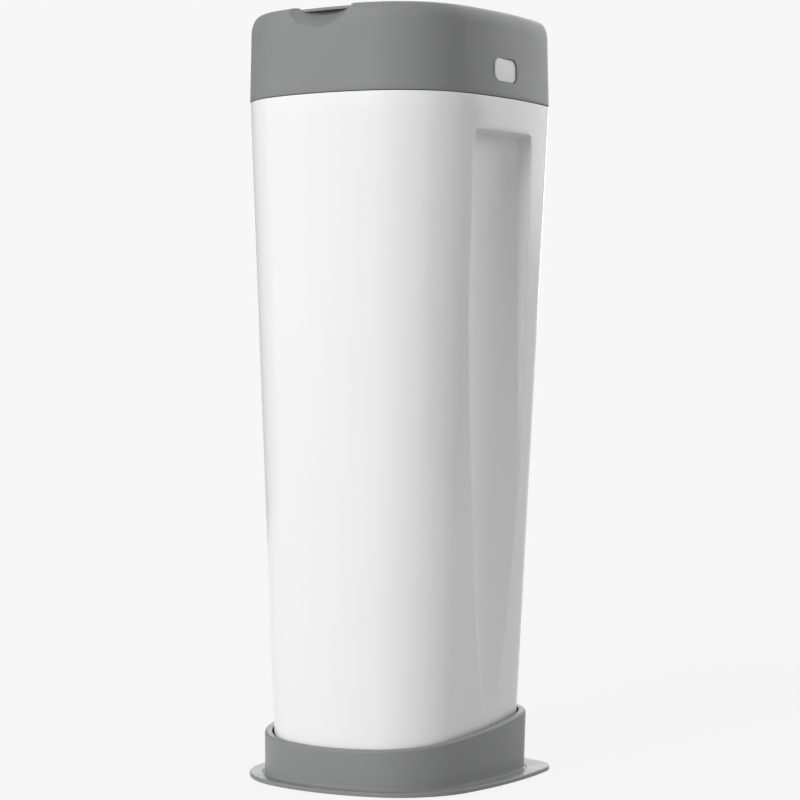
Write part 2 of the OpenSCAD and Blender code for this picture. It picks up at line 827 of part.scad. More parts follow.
module clamp_frame() {
    w = clamp_x + clamp_wall;
    d = clamp_y + clamp_wall;
    color(light_grey) difference() {
        union() {
            translate([-clamp_x - clamp_flange, -d - clamp_edge, flange_bottom])
                cube([2 * (clamp_x + clamp_flange), 2 * (d + clamp_edge), clamp_plate_t]);
            translate([-w, -d, flange_bottom - clamp_h]) cube([2 * w, 2 * d, clamp_h + fuse]);
            at_clamp_screws() translate([0, 0, flange_bottom - screw_l + over])
                cylinder(r = screw_r + boss_wall, h = screw_l);
            both_sides() y_rod(jaw_barrel_r + hinge_boss, -d - boss_out, d + boss_out,
                jaw_x, jaw_z);
        }
        difference() {
            clamp_way(flange_bottom - clamp_h - over, clamp_h + clamp_plate_t + 2 * over);
            both_sides() spring_anchor();
        }
        both_sides() y_rod(jaw_pin_r + pin_clear, -d - 2 * boss_out, d + 2 * boss_out,
            jaw_x, jaw_z);
        at_clamp_screws() translate([0, 0, flange_bottom - screw_l + 2 * over])
            cylinder(r = screw_r + screw_clear, h = screw_l + clamp_plate_t);
    }
}

// A rib of the frame that takes the fixed end of a jaw's spring
module spring_anchor() {
    translate([jaw_x - over, -spring_room - anchor_t, jaw_z - jaw_barrel_r])
        cube([jaw_in + 2 * over, anchor_t, 2 * jaw_barrel_r]);
    y_rod(jaw_barrel_r, -spring_room - anchor_t, -spring_room, jaw_x, jaw_z);
}

// The right-hand jaw: a ribbed plate with a round lip, turning on its pin
module jaw() {
    notch_y = spring_room + anchor_t + jaw_end_gap;
    plate = jaw_x - lip_gap / 2 - lip_r;
    difference() {
        union() {
            y_rod(jaw_barrel_r, -barrel_y, barrel_y, jaw_x, jaw_z);
            y_rod(lip_r, -barrel_y, barrel_y, jaw_x - plate, jaw_z);
            translate([jaw_x - plate, -barrel_y, jaw_z - jaw_t / 2])
                cube([plate, 2 * barrel_y, jaw_t]);
            for (k = [0:jaw_ribs - 1]) {
                y = jaw_rib_share * barrel_y * (2 * k / (jaw_ribs - 1) - 1);
                translate([jaw_x - plate, y - jaw_rib_t / 2, jaw_z - jaw_t / 2 - jaw_rib_h])
                    cube([plate - 2 * jaw_barrel_r, jaw_rib_t, jaw_rib_h + fuse]);
            }
        }
        translate([jaw_x - jaw_barrel_r - jaw_notch, -notch_y, jaw_z - 2 * jaw_barrel_r])
            cube([4 * jaw_barrel_r, notch_y + spring_room, 4 * jaw_barrel_r]);
        y_rod(jaw_pin_r + pin_clear, -clamp_y, clamp_y, jaw_x, jaw_z);
    }
}

module right_jaw() {
    color(light_grey) jaw();
}

module left_jaw() {
    color(light_grey) mirror([1, 0, 0]) jaw();
}

module jaw_pins() {
    end = clamp_y + clamp_wall + boss_out;
    color(steel) both_sides() y_rod(jaw_pin_r, -end, end, jaw_x, jaw_z);
}

module jaw_springs() {
    color(steel) both_sides() translate([jaw_x, -coil_h / 2, jaw_z]) rotate([-90, 0, 0])
        coil(jaw_spring_r, jaw_wire_r, jaw_turns, coil_h);
}

// ---- Film cassette ----

cassette_top_z = collar_floor_z + cassette_h;
cover_t = cassette_wall;
tray_top_z = cassette_top_z - cover_t;
tray_inner_z = tray_top_z - film_slot;

module cassette_tray() {
    t = cassette_wall;
    inner = eye_r + eye_lip;
    color(light_grey) translate([0, cassette_y, 0]) rotate_extrude() polygon([
        [inner, collar_floor_z],
        [cassette_r, collar_floor_z],
        [cassette_r, tray_top_z],
        [cassette_r - t, tray_top_z],
        [cassette_r - t, collar_floor_z + t],
        [inner + t, collar_floor_z + t],
        [inner + t, tray_inner_z - t / 2],
        [inner + t / 2, tray_inner_z],
        [inner, tray_inner_z - t / 2]
    ]);
}

module cassette_cover() {
    skirt_r = cover_r - cover_wall;
    skirt_z = tray_top_z - cover_skirt;
    t = cover_t;
    color(white) translate([0, cassette_y, 0]) rotate_extrude() polygon([
        [eye_r, tray_top_z - eye_bead],
        [eye_r + t / 2, tray_top_z - eye_bead - t / 3],
        [eye_r + t, tray_top_z - eye_bead],
        [eye_r + t, tray_top_z],
        [skirt_r, tray_top_z],
        [skirt_r, skirt_z],
        [cover_r, skirt_z],
        [cover_r, cassette_top_z - cover_edge],
        [cover_r - cover_edge, cassette_top_z],
        [eye_r + cover_edge, cassette_top_z],
        [eye_r, cassette_top_z - cover_edge]
    ]);
}

// The film sleeve, pleated into the tray
module film_pack() {
    inner = eye_r + eye_lip + cassette_wall + seat_gap;
    outer = cassette_r - cassette_wall - seat_gap;
    base = collar_floor_z + cassette_wall;
    top = tray_inner_z - film_room;
    color(film) translate([0, cassette_y, 0]) rotate_extrude() polygon(concat(
        [[inner, base], [outer, base]],
        [for (k = [2 * pleats:-1:0])
            [inner + (outer - inner) * k / (2 * pleats), top - pleat_d * (k % 2)]]
    ));
}

// ---- Film cutter at the front of the collar ----

cutter_front = tub_pt(0, collar_floor_z, -tub_wall - seat_gap - collar_wall).y;
cutter_back = cassette_y - seat_r;
cutter_y = (cutter_front + cutter_back) / 2;
cutter_d = cutter_share * (cutter_back - cutter_front);
cutter_slot_z = collar_floor_z + cutter_floor;
cutter_end = cutter_wall - cutter_w / 2;

module cutter_body() {
    color(grey) translate([0, cutter_y, 0]) difference() {
        translate([0, 0, collar_floor_z])
            rounded_plate(cutter_w, cutter_d, cutter_d / 4, cutter_h);
        translate([cutter_end, -cutter_slot / 2, cutter_slot_z])
            cube([cutter_w, cutter_slot, cutter_h]);
        translate([cutter_w / 2, -cutter_d / 2 - over, collar_floor_z + cutter_h])
            rotate([0, -cutter_slope, 0]) translate([-cutter_w * cutter_slope_share, 0, 0])
                cube([cutter_w, cutter_d + 2 * over, cutter_h]);
    }
}

module cutter_blade() {
    long = cutter_w / 2;
    color(steel) translate([cutter_end, cutter_y + blade_t / 2, cutter_slot_z])
        rotate([90, 0, 0]) linear_extrude(height = blade_t)
            polygon([[0, 0], [long, 0], [long - blade_tip, blade_tip], [0, cutter_h / 2]]);
}

// ---- Head ----

top_z = tub_top_z + head_h;
head_z = tub_top_z + seam_gap;
lid_top_z = top_z - lid_step;
lid_hinge_y = rear_y - lid_hinge_in;
lid_hinge_z = lid_top_z - barrel_r;
ledge_top_z = top_z - ledge_drop;
ledge_bottom_z = ledge_top_z - ledge_t;
opening_rear = lid_hinge_y - barrel_r - hinge_room_gap;
lid_rear = opening_rear - lid_rear_gap;
button_z = tub_top_z + button_rise;

function lean_in(z) = head_lean * (z - tub_top_z) / head_h;
function head_ring(z, d) = plan_ring(z, d - lean_in(z));
button_face_x = side_x(button_y, tub_top_z, 0) - lean_in(button_z);
pocket_x = tongue_x - button_travel - press_gap;
pocket_d = button_face_x - pocket_x;

module head_housing() {
    color(grey) difference() {
        union() {
            difference() {
                head_shell();
                hinge_room();
            }
            both_sides() button_pocket();
            head_knuckle();
        }
        scoop();
        barrel_room();
        both_sides() {
            button_way();
            x_rod(lid_pin_r + pin_clear, barrel_half - over,
                barrel_half + over + lid_pin_out, lid_hinge_y, lid_hinge_z);
        }
        at_liner_screws() translate([0, 0, ledge_bottom_z - over])
            cylinder(r = screw_r + screw_clear, h = ledge_t);
        x_rod(hinge_pin_r + pin_clear, -knuckle_half - over, knuckle_half + over,
            hinge_y, hinge_z);
    }
}

module head_shell() {
    tube_loft(concat(
        [head_ring(head_z, 0), head_ring(top_z - edge_h, 0)],
        [
            for (t = [18:18:90])
                head_ring(top_z - edge_h * (1 - sin(t)), -edge_w * (1 - cos(t)))
        ],
        [
            plan_ring(top_z, lip_in - rim_w - lean_in(top_z), opening_rear + lip_in),
            plan_ring(top_z - lip_in, -rim_w - lean_in(top_z), opening_rear),
            plan_ring(ledge_top_z, -rim_w - lean_in(top_z), opening_rear),
            plan_ring(ledge_top_z, -rim_w - ledge_w, opening_rear - ledge_w),
            plan_ring(ledge_bottom_z, -rim_w - ledge_w, opening_rear - ledge_w),
            head_ring(ledge_bottom_z, -head_wall),
            head_ring(head_z, -head_wall)
        ]
    ));
}

// The finger scoop is a ball's hollow in the front of the rim
module scoop(grow = 0) {
    wall_y = -rear_y + lean_in(top_z);
    set_out = sqrt(scoop_r * scoop_r - scoop_outline_r * scoop_outline_r);
    translate([0, wall_y - set_out, top_z + scoop_rise]) sphere(r = scoop_r + grow);
}

// Room for the lid's barrel and for the lid's edge as it swings back
module barrel_room() {
    floor_z = lid_hinge_z - barrel_r - barrel_gap;
    half = barrel_half + barrel_end_gap;
    translate([-half, opening_rear - over, floor_z])
        cube([2 * half, lid_hinge_y + swing_gap - opening_rear + over, head_h]);
}

// The head's own knuckle, on a web from its back wall
web_back = hinge_in - head_wall + fuse / 4;
module head_knuckle() {
    x_rod(knuckle_r, -knuckle_half, knuckle_half, hinge_y, hinge_z);
    translate([-knuckle_half, hinge_y - over, hinge_z])
        cube([2 * knuckle_half, web_back + over, 3 * knuckle_r]);
}

// Room at the back for the lugs, and the relief that lets the head tip back
module hinge_room() {
    room = knuckle_half + lug_gap + lug_w + lug_room;
    translate([0, hinge_y - knuckle_r - over, tub_top_z - over]) {
        translate([-room, 0, 0])
            cube([2 * room, rear_y, hinge_rise + knuckle_r + seam_gap + over]);
        translate([-plan_half_w, 0, 0]) cube([2 * plan_half_w, rear_y, relief_h + over]);
    }
}

module button_outline(grow, t) {
    rotate([90, 0, 90]) rounded_plate(
        button_w + 2 * grow, button_h + 2 * grow, button_corner_r + grow, t);
}

// The pocket that guides a button and seats its spring
module button_pocket() {
    translate([pocket_x - pocket_wall, button_y, button_z])
        button_outline(button_gap + pocket_wall, pocket_d + pocket_wall - head_wall / 2);
}

module button_way() {
    translate([pocket_x, button_y, button_z]) button_outline(button_gap, 2 * pocket_d);
    pocket_foot_z = button_z - button_h / 2 - button_gap - pocket_wall;
    translate([pocket_x, button_y - tongue_half - slot_gap, pocket_foot_z - over])
        cube([
            tongue_x + tongue_t + slot_gap - pocket_x,
            2 * (tongue_half + slot_gap),
            pocket_wall + button_gap + 2 * over
        ]);
}

// ---- Side buttons, each with a latch behind its cap ----

nose_z = collar_top_z - catch_h - seat_gap;
arm_z = button_z - button_h / 2 + slot_gap;
cap_lean = atan(head_lean / head_h);

// The cap of the right-hand button, set to the lean of the head's wall
module button() {
    translate([button_face_x - button_t, button_y, button_z]) rotate([0, -cap_lean, 0])
        button_outline(0, button_t);
}

// The latch behind it: an arm, a tongue that goes down into the tub, and a sloped nose
module latch() {
    arm_end = button_face_x - button_t - tongue_t / 2;
    difference() {
        union() {
            translate([tongue_x, button_y - tongue_half, arm_z])
                cube([arm_end - tongue_x, 2 * tongue_half, tongue_t]);
            translate([tongue_x, button_y - tongue_half, nose_z - nose_h])
                cube([tongue_t, 2 * tongue_half, arm_z + tongue_t - nose_z + nose_h]);
            translate([tongue_x, button_y - tongue_half, nose_z - nose_h])
                cube([tongue_t + nose_w, 2 * tongue_half, nose_h]);
            latch_pad();
        }
        translate([tongue_x + tongue_t, button_y - tongue_half - over, nose_z - nose_h])
            rotate([0, 45, 0]) cube([nose_w, 2 * (tongue_half + over), nose_w * 2]);
    }
}

// The pad at the arm's end, which lies against the back of the cap
module latch_pad() {
    translate([button_face_x - button_t, button_y, button_z]) rotate([0, -cap_lean, 0])
        translate([-tongue_t, -tongue_half, arm_z - button_z])
            cube([tongue_t, 2 * tongue_half, pad_h]);
}

module right_button() {
    color(light_grey) button();
}

module left_button() {
    color(light_grey) mirror([1, 0, 0]) button();
}

module right_latch() {
    color(light_grey) latch();
}

module left_latch() {
    color(light_grey) mirror([1, 0, 0]) latch();
}

button_coil_h = pocket_d - button_t - 2 * spring_seat_gap;
button_coil_z = button_z + spring_rise;

module button_spring() {
    translate([pocket_x + spring_seat_gap, button_y, button_coil_z]) rotate([0, 90, 0])
        coil(spring_r, spring_wire_r, spring_turns, button_coil_h);
}

module right_button_spring() {
    color(steel) button_spring();
}

module left_button_spring() {
    color(steel) mirror([1, 0, 0]) button_spring();
}

// ---- Head liner: a funnel from the lid's opening to the round throat ----

mouth_z = cassette_top_z + mouth_gap;
liner_steps = 4;
liner_in = rim_w + ledge_w + liner_lip;

function throat_pt(a, r) = [r * sin(a), cassette_y - r * cos(a)];
function liner_pt(a, t, d) = mix(
    throat_pt(a, throat_r + d),
    clip(plan_pt(a, d - liner_in), opening_rear - liner_in + rim_w + d), t);
function liner_ring(t, d) = whole([
    for (a = plan_angles)
        lift(liner_pt(a, 1 - cos(90 * t), d), mouth_z + (ledge_bottom_z - mouth_z) * t)
]);

module head_liner() {
    t = liner_wall;
    rear = opening_rear - liner_in + rim_w;
    color(white) difference() {
        tube_loft(concat(
            [for (k = [0:liner_steps - 1]) liner_ring(k / liner_steps, t)],
            [
                plan_ring(ledge_bottom_z - t, t - liner_in, rear + t),
                plan_ring(ledge_bottom_z - t, liner_flange - liner_in, rear + liner_flange),
                plan_ring(ledge_bottom_z, liner_flange - liner_in, rear + liner_flange)
            ],
            [for (k = [liner_steps:-1:0]) liner_ring(k / liner_steps, 0)]
        ));
        at_liner_screws() translate([0, 0, ledge_bottom_z - 2 * liner_wall])
            cylinder(r = screw_r + screw_clear, h = 4 * liner_wall);
    }
}

module at_liner_screws() {
    for (a = [42, 112], side = [-1, 1]) {
        p = plan_pt(a, liner_lip / 2 - rim_w - ledge_w / 2);
        translate([side * p.x, p.y, 0]) children();
    }
}

module liner_screws() {
    under = ledge_bottom_z - liner_wall;
    color(steel) at_liner_screws() {
        translate([0, 0, under - screw_head_h]) cylinder(r = screw_head_r, h = screw_head_h);
        translate([0, 0, under - eps])
            cylinder(r = screw_r, h = liner_wall + ledge_t - screw_head_h);
    }
}

module head_hinge_pin() {
    end = knuckle_half + lug_gap + lug_w;
    color(steel) x_rod(hinge_pin_r, -end, end, hinge_y, hinge_z);
}

// ---- Lid ----

function lid_ring(z, d) =
    plan_ring(z, d - rim_w - lean_in(top_z) - lid_gap, lid_rear + d);
lid_under_z = lid_top_z - lid_t;
skirt_bottom_z = lid_top_z - lid_skirt;

// The skirt; where the finger scoop is, it turns in behind it as the scoop's back wall
module skirt_wall() {
    foot_z = ledge_top_z + lid_gap;
    difference() {
        union() {
            tube_loft([
                lid_ring(skirt_bottom_z, 0),
                lid_ring(lid_under_z + fuse, 0),
                lid_ring(lid_under_z + fuse, -lid_wall),
                lid_ring(skirt_bottom_z, -lid_wall)
            ]);
            intersection() {
                loft([lid_ring(foot_z, 0), lid_ring(lid_under_z + fuse, 0)]);
                scoop(lid_gap + lid_wall);
            }
        }
        intersection() {
            scoop(lid_gap);
            translate([-scoop_r, -rear_y, foot_z - over])
                cube([2 * scoop_r, rear_y, lid_under_z - foot_z + over]);
        }
    }
}

module lid_outer() {
    color(grey) difference() {
        union() {
            loft(concat(
                [lid_ring(lid_under_z, 0), lid_ring(lid_top_z - lid_edge_r, 0)],
                [
                    for (t = [30:30:90])
                        lid_ring(lid_top_z - lid_edge_r * (1 - sin(t)), -lid_edge_r * (1 - cos(t)))
                ]
            ));
            skirt_wall();
            x_rod(barrel_r, -barrel_half, barrel_half, lid_hinge_y, lid_hinge_z);
            translate([-barrel_half, lid_rear - lid_edge_r - fuse, lid_under_z])
                cube([2 * barrel_half, lid_hinge_y - lid_rear + lid_edge_r + fuse, lid_t]);
        }
        both_sides() x_rod(lid_pin_r + pin_clear, barrel_half - lid_pin_in - fuse,
            barrel_half + over, lid_hinge_y, lid_hinge_z);
    }
}

module lid_hinge_pins() {
    color(steel) both_sides() x_rod(lid_pin_r, barrel_half - lid_pin_in,
        barrel_half + lid_pin_out, lid_hinge_y, lid_hinge_z);
}

panel_gap = lid_wall + seat_gap;

// The inner panel closes the lid's underside and stands on four posts
module lid_inner() {
    color(white) {
        difference() {
            loft([
                lid_ring(skirt_bottom_z, -panel_gap - panel_in),
                lid_ring(skirt_bottom_z + panel_t, -panel_gap - panel_in)
            ]);
            scoop(lid_gap + lid_wall + seat_gap);
        }
        for (x = [-1, 1], y = [-1, 1])
            translate([x * clamp_x, y * clamp_y, skirt_bottom_z + eps])
                cylinder(r = post_r, h = lid_under_z - skirt_bottom_z - eps);
    }
}

module lid_seal() {
    low = ledge_top_z + seal_gap;
    d = -panel_gap - panel_in - seal_in;
    color(rubber) tube_loft([
        lid_ring(low, d - seal_w * seal_low_cut),
        lid_ring((low + skirt_bottom_z) / 2, d),
        lid_ring(skirt_bottom_z, d - seal_w * seal_high_cut),
        lid_ring(skirt_bottom_z, d - seal_w * (1 - seal_high_cut)),
        lid_ring((low + skirt_bottom_z) / 2, d - seal_w),
        lid_ring(low, d - seal_w * (1 - seal_low_cut))
    ]);
}

echo(button_spring_gap = coil_gap(spring_r, spring_wire_r, spring_turns, button_coil_h));
echo(jaw_spring_gap = coil_gap(jaw_spring_r, jaw_wire_r, jaw_turns, coil_h));

base_tray();
foot_pads();
tub_shell();
tub_collar();
clamp_screws();
clamp_frame();
left_jaw();
right_jaw();
jaw_pins();
jaw_springs();
cassette_tray();
cassette_cover();
film_pack();
cutter_body();
cutter_blade();
head_housing();
head_liner();
liner_screws();
head_hinge_pin();
left_button();
right_button();
left_latch();
right_latch();
left_button_spring();
right_button_spring();
lid_outer();
lid_inner();
lid_seal();
lid_hinge_pins();
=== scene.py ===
"""The looks of the nappy bin: smooth moulded shells, their finishes and a small studio.

The front is -Y, +Z is up and X=0 is the middle. Lengths of the bin are millimetres and
become metres where a mesh is made; the studio's are metres. The outlines come from the
same arcs as the CAD, sampled more finely.
"""

import json
import logging
import math
from collections.abc import Iterable, Sequence
from dataclasses import dataclass
from enum import Enum

import bmesh
import bpy
import numpy as np
from mathutils import Matrix, Vector


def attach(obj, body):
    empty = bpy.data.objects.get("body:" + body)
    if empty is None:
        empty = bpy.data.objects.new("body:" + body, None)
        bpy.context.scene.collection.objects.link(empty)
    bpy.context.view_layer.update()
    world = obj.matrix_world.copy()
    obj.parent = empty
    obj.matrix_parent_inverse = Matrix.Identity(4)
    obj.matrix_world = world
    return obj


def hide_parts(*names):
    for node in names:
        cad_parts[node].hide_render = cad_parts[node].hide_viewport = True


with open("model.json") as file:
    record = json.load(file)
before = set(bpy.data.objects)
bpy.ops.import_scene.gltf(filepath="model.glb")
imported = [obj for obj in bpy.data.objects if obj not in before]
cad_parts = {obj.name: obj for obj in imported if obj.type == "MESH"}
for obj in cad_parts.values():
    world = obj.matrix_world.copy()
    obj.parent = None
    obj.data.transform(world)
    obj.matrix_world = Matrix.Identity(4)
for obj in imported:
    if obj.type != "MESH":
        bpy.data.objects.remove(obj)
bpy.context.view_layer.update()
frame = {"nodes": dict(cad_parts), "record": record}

log = logging.getLogger("nappy_bin")

MM = 0.001
FAR = 1000.0
MATT_MARK = "matt_mark"
Ring = np.ndarray
Colour = tuple[float, float, float]
Tint = Colour | bpy.types.NodeSocket
Spot = tuple[float, float, float]


class Join(Enum):
    """How a second solid changes the first."""

    ADD = "UNION"
    CUT = "DIFFERENCE"
    MEET = "INTERSECT"


class Side(Enum):
    """The two sides of the bin, as the sign of X."""

    LEFT = -1
    RIGHT = 1


# ---- Outlines ----


@dataclass(frozen=True)
class PlanCurve:
    """The bin's outline from above, as arcs from the front round to the back."""

    radii: tuple[float, ...] = (186.0, 81.4, 374.6, 34.3)
    turns: tuple[float, ...] = (16.7, 61.1, 19.4, 64.0)
    steps: tuple[int, ...] = (14, 40, 14, 30, 12)

    @property
    def starts(self) -> np.ndarray:
        """Angle of the outward normal where each arc starts."""
        return np.concatenate([[0.0], np.cumsum(self.turns)])

    def _arc_ends(self) -> tuple[np.ndarray, np.ndarray]:
        """Works out where the arcs meet.

        Returns:
            The radii with the rear one added, and the arcs' first points.
        """
        a = np.radians(self.starts)
        ends = [np.zeros(2)]
        for i, r in enumerate(self.radii):
            turn = [math.sin(a[i + 1]) - math.sin(a[i]), math.cos(a[i]) - math.cos(a[i + 1])]
            ends.append(ends[-1] + r * np.array(turn))
        rear = ends[-1][0] / math.sin(a[-1])
        return np.array([*self.radii, rear]), np.array(ends)

    @property
    def rear_y(self) -> float:
        """Half of the outline's depth."""
        radii, ends = self._arc_ends()
        last = math.radians(self.starts[-1])
        return (ends[-1][1] + radii[-1] * (math.cos(last) + 1.0)) / 2.0

    def angles(self) -> np.ndarray:
        """Angles of the normals along the right half, front to back."""
        edges = [*self.starts, 180.0]
        spans = [
            np.linspace(edges[i], edges[i + 1], n, endpoint=False)
            for i, n in enumerate(self.steps)
        ]
        return np.concatenate([*spans, [180.0]])

    def points(self, angles: np.ndarray, out: float | np.ndarray = 0.0) -> np.ndarray:
        """Points of the outline.

        Args:
            angles: Angles of the outward normals, in degrees.
            out: Distance outward from the outline.

        Returns:
            One row of x and y for each angle.
        """
        radii, ends = self._arc_ends()
        index = np.searchsorted(self.starts, angles, side="right") - 1
        start = np.radians(self.starts[index])
        a = np.radians(angles)
        arc = np.stack([np.sin(a) - np.sin(start), np.cos(start) - np.cos(a)], axis=1)
        base = ends[index] + radii[index][:, None] * arc + [0.0, -self.rear_y]
        return base + np.asarray(out).reshape(-1, 1) * self.normals(angles)

    @staticmethod
    def normals(angles: np.ndarray) -> np.ndarray:
        """Outward normals in the plane, one row for each angle."""
        a = np.radians(angles)
        return np.stack([np.sin(a), -np.cos(a)], axis=1)


PLAN = PlanCurve()
ANGLES = PLAN.angles()
REAR_Y = PLAN.rear_y


def whole(half: Ring) -> Ring:
    """Mirrors the right half of a ring, front to back, into a whole ring."""
    return np.concatenate([half, half[-2:0:-1] * [-1.0, 1.0, 1.0]])


def level(points: np.ndarray, z: float | np.ndarray) -> Ring:
    """Gives plane points a height."""
    heights = np.broadcast_to(z, len(points))
    return np.column_stack([points, heights])


def plan_half(out: float, rear: float = FAR) -> np.ndarray:
    """The right half of the outline, cut straight across at a rear limit."""
    points = PLAN.points(ANGLES, out)
    points[:, 1] = np.minimum(points[:, 1], rear)
    return points


def plan_ring(z: float, out: float, rear: float = FAR) -> Ring:
    """A level ring of the outline, cut straight across at a rear limit."""
    return whole(level(plan_half(out, rear), z))


def quarter(steps: int) -> np.ndarray:
    """Angles of a quarter turn in radians, first and last included."""
    return np.linspace(0.0, math.pi / 2.0, steps + 1)


def bend(radius: float, steps: int) -> list[tuple[float, float]]:
    """A rounded edge, as falls below its top and steps in from its side, from the side up."""
    return [(radius * (1.0 - math.sin(t)), radius * (1.0 - math.cos(t))) for t in quarter(steps)]


def circle(radius: np.ndarray | float, turn: np.ndarray, x: float, y: float) -> np.ndarray:
    """Points round a middle, one row of x and y for each turn."""
    return np.column_stack([x + radius * np.cos(turn), y + radius * np.sin(turn)])


def full_turn(sides: int) -> np.ndarray:
    """Angles of a full turn in radians, the last left out."""
    return np.linspace(0.0, 2.0 * math.pi, sides, endpoint=False)


def rounded_corner(before: np.ndarray, corner: np.ndarray, after: np.ndarray,
                   radius: float, steps: int) -> np.ndarray:
    """Rounds a corner between two straight runs, for many corners at once.

    Args:
        before: Points on the run into each corner, one row each.
        corner: The corners.
        after: Points on the run out of each corner.
        radius: Radius of the rounding where there is room for it.
        steps: Number of steps along the rounding.

    Returns:
        Points along each rounding, as an array of steps + 1, corners, coordinates.
    """
    run_in, run_out = before - corner, after - corner
    length_in = np.linalg.norm(run_in, axis=1, keepdims=True) + 1e-9
    length_out = np.linalg.norm(run_out, axis=1, keepdims=True) + 1e-9
    u, v = run_in / length_in, run_out / length_out
    cosine = np.clip((u * v).sum(axis=1, keepdims=True), -1.0, 1.0)
    half = np.arccos(cosine) / 2.0
    reach = radius / np.maximum(np.tan(half), 1e-6)
    reach = np.minimum(reach, 0.45 * np.minimum(length_in, length_out))
    t = np.linspace(0.0, 1.0, steps + 1)[:, None, None]
    weight = np.cos(half)[None]
    blend = 2.0 * t * (1.0 - t) * weight
    total = (1.0 - t) ** 2 + blend + t ** 2
    start, end = corner + u * reach, corner + v * reach
    return ((1.0 - t) ** 2 * start + blend * corner + t ** 2 * end) / total


# ---- Meshes ----


def show(name: str, data: bpy.types.ID) -> bpy.types.Object:
    """Makes an object of a mesh, lamp or camera and puts it in the scene."""
    thing = bpy.data.objects.new(name, data)
    bpy.context.scene.collection.objects.link(thing)
    return thing


def handed(piece: bpy.types.Object, side: Side) -> bpy.types.Object:
    """Turns a right-hand piece into one for the given side."""
    if side is Side.LEFT:
        piece.data.transform(Matrix.Diagonal((side.value, 1.0, 1.0, 1.0)))
        piece.data.flip_normals()
    return piece


def discard(thing: bpy.types.Object) -> None:
    """Deletes an object and its mesh."""
    mesh = thing.data
    bpy.data.objects.remove(thing)
    bpy.data.meshes.remove(mesh)


class Workshop:
    """Makes objects from rings and plain solids, and joins or cuts them."""

    smooth_below = math.radians(32.0)

    @classmethod
    def _smooth(cls, mesh: bpy.types.Mesh) -> None:
        """Smooths a mesh except along its sharp edges."""
        mesh.shade_smooth()
        mesh.set_sharp_from_angle(angle=cls.smooth_below)

    @classmethod
    def skin(cls, name: str, rings: Sequence[Ring], wrap: bool = False) -> bpy.types.Object:
        """Makes a closed skin over rings.

        Args:
            name: Name of the new object.
            rings: Rings in order, outward faces to the right when climbing.
            wrap: True joins the last ring to the first, False caps both.

        Returns:
            The new object.
        """
        count, m = len(rings[0]), len(rings)
        points = np.concatenate(rings) * MM
        i = np.arange(count)
        j = np.roll(i, -1)
        faces: list[list[int]] = []
        for k in range(m if wrap else m - 1):
            a, b = k * count, ((k + 1) % m) * count
            faces += np.stack([a + i, a + j, b + j, b + i], axis=1).tolist()
        if not wrap:
            faces.append(list(range(count - 1, -1, -1)))
            faces.append(list(range((m - 1) * count, m * count)))
        mesh = bpy.data.meshes.new(name)
        mesh.from_pydata(points.tolist(), [], faces)
        mesh.validate()
        cls._weld(mesh)
        cls._smooth(mesh)
        return show(name, mesh)

    @staticmethod
    def _weld(mesh: bpy.types.Mesh) -> None:
        """Merges points that lie on each other and drops faces without area."""
        work = bmesh.new()
        work.from_mesh(mesh)
        bmesh.ops.remove_doubles(work, verts=work.verts, dist=2e-6)
        bmesh.ops.dissolve_degenerate(work, edges=work.edges, dist=1e-7)
        work.to_mesh(mesh)
        work.free()

    @classmethod
    def _from_bmesh(cls, name: str, work: bmesh.types.BMesh) -> bpy.types.Object:
        """Turns a bmesh into an object."""
        mesh = bpy.data.meshes.new(name)
        work.to_mesh(mesh)
        work.free()
        cls._smooth(mesh)
        return show(name, mesh)

    @classmethod
    def block(cls, name: str, low: Spot, high: Spot, edge: float = 0.0) -> bpy.types.Object:
        """A block between two corners, with its edges rounded by a radius."""
        work = bmesh.new()
        size = [(h - l) * MM for l, h in zip(low, high)]
        middle = [(h + l) / 2 * MM for l, h in zip(low, high)]
        place = Matrix.Translation(middle) @ Matrix.Diagonal((*size, 1.0))
        bmesh.ops.create_cube(work, size=1.0, matrix=place)
        if edge > 0.0:
            bmesh.ops.bevel(work, geom=work.edges[:], offset=edge * MM, segments=3,
                            profile=0.5, affect="EDGES", clamp_overlap=True)
        return cls._from_bmesh(name, work)

    @classmethod
    def rod(cls, name: str, start: Spot, end: Spot, radius: float,
            edge: float = 0.0, sides: int = 64) -> bpy.types.Object:
        """A round rod between two points, with rounded ends."""
        a, b = Vector(start), Vector(end)
        along = (b - a).normalized()
        turn = along.to_track_quat("Z", "Y").to_matrix()
        length = (b - a).length
        rows = [(radius - fall, step) for fall, step in (bend(edge, 4) if edge else [(0.0, 0.0)])]
        rows += [(r, length - z) for r, z in reversed(rows)]
        rings = [level(circle(r, full_turn(sides), 0.0, 0.0), z) @ np.array(turn).T + np.array(a)
                 for r, z in rows]
        return cls.skin(name, rings)

    @classmethod
    def ball(cls, name: str, centre: Spot, radius: float) -> bpy.types.Object:
        """A finely divided ball."""
        work = bmesh.new()
        bmesh.ops.create_uvsphere(
            work, u_segments=180, v_segments=120, radius=radius * MM,
            matrix=Matrix.Translation(Vector(centre) * MM))
        return cls._from_bmesh(name, work)

    @classmethod
    def combine(cls, piece: bpy.types.Object, how: Join, *tools: bpy.types.Object) -> None:
        """Changes a piece by the solids of tools, one after another, and deletes them."""
        for tool in tools:
            step = piece.modifiers.new(how.name, "BOOLEAN")
            step.operation = how.value
            step.solver = "EXACT"
            step.object = tool
            graph = bpy.context.evaluated_depsgraph_get()
            mesh = bpy.data.meshes.new_from_object(piece.evaluated_get(graph))
            spare = piece.data
            piece.modifiers.clear()
            piece.data = mesh
            bpy.data.meshes.remove(spare)
            cls._smooth(mesh)
            discard(tool)

    @classmethod
    def join(cls, name: str, parts: Sequence[bpy.types.Object]) -> bpy.types.Object:
        """Puts several meshes into one object."""
        work = bmesh.new()
        for part in parts:
            work.from_mesh(part.data)
        piece = cls._from_bmesh(name, work)
        for part in parts:
            discard(part)
        return piece


# ---- Finishes ----


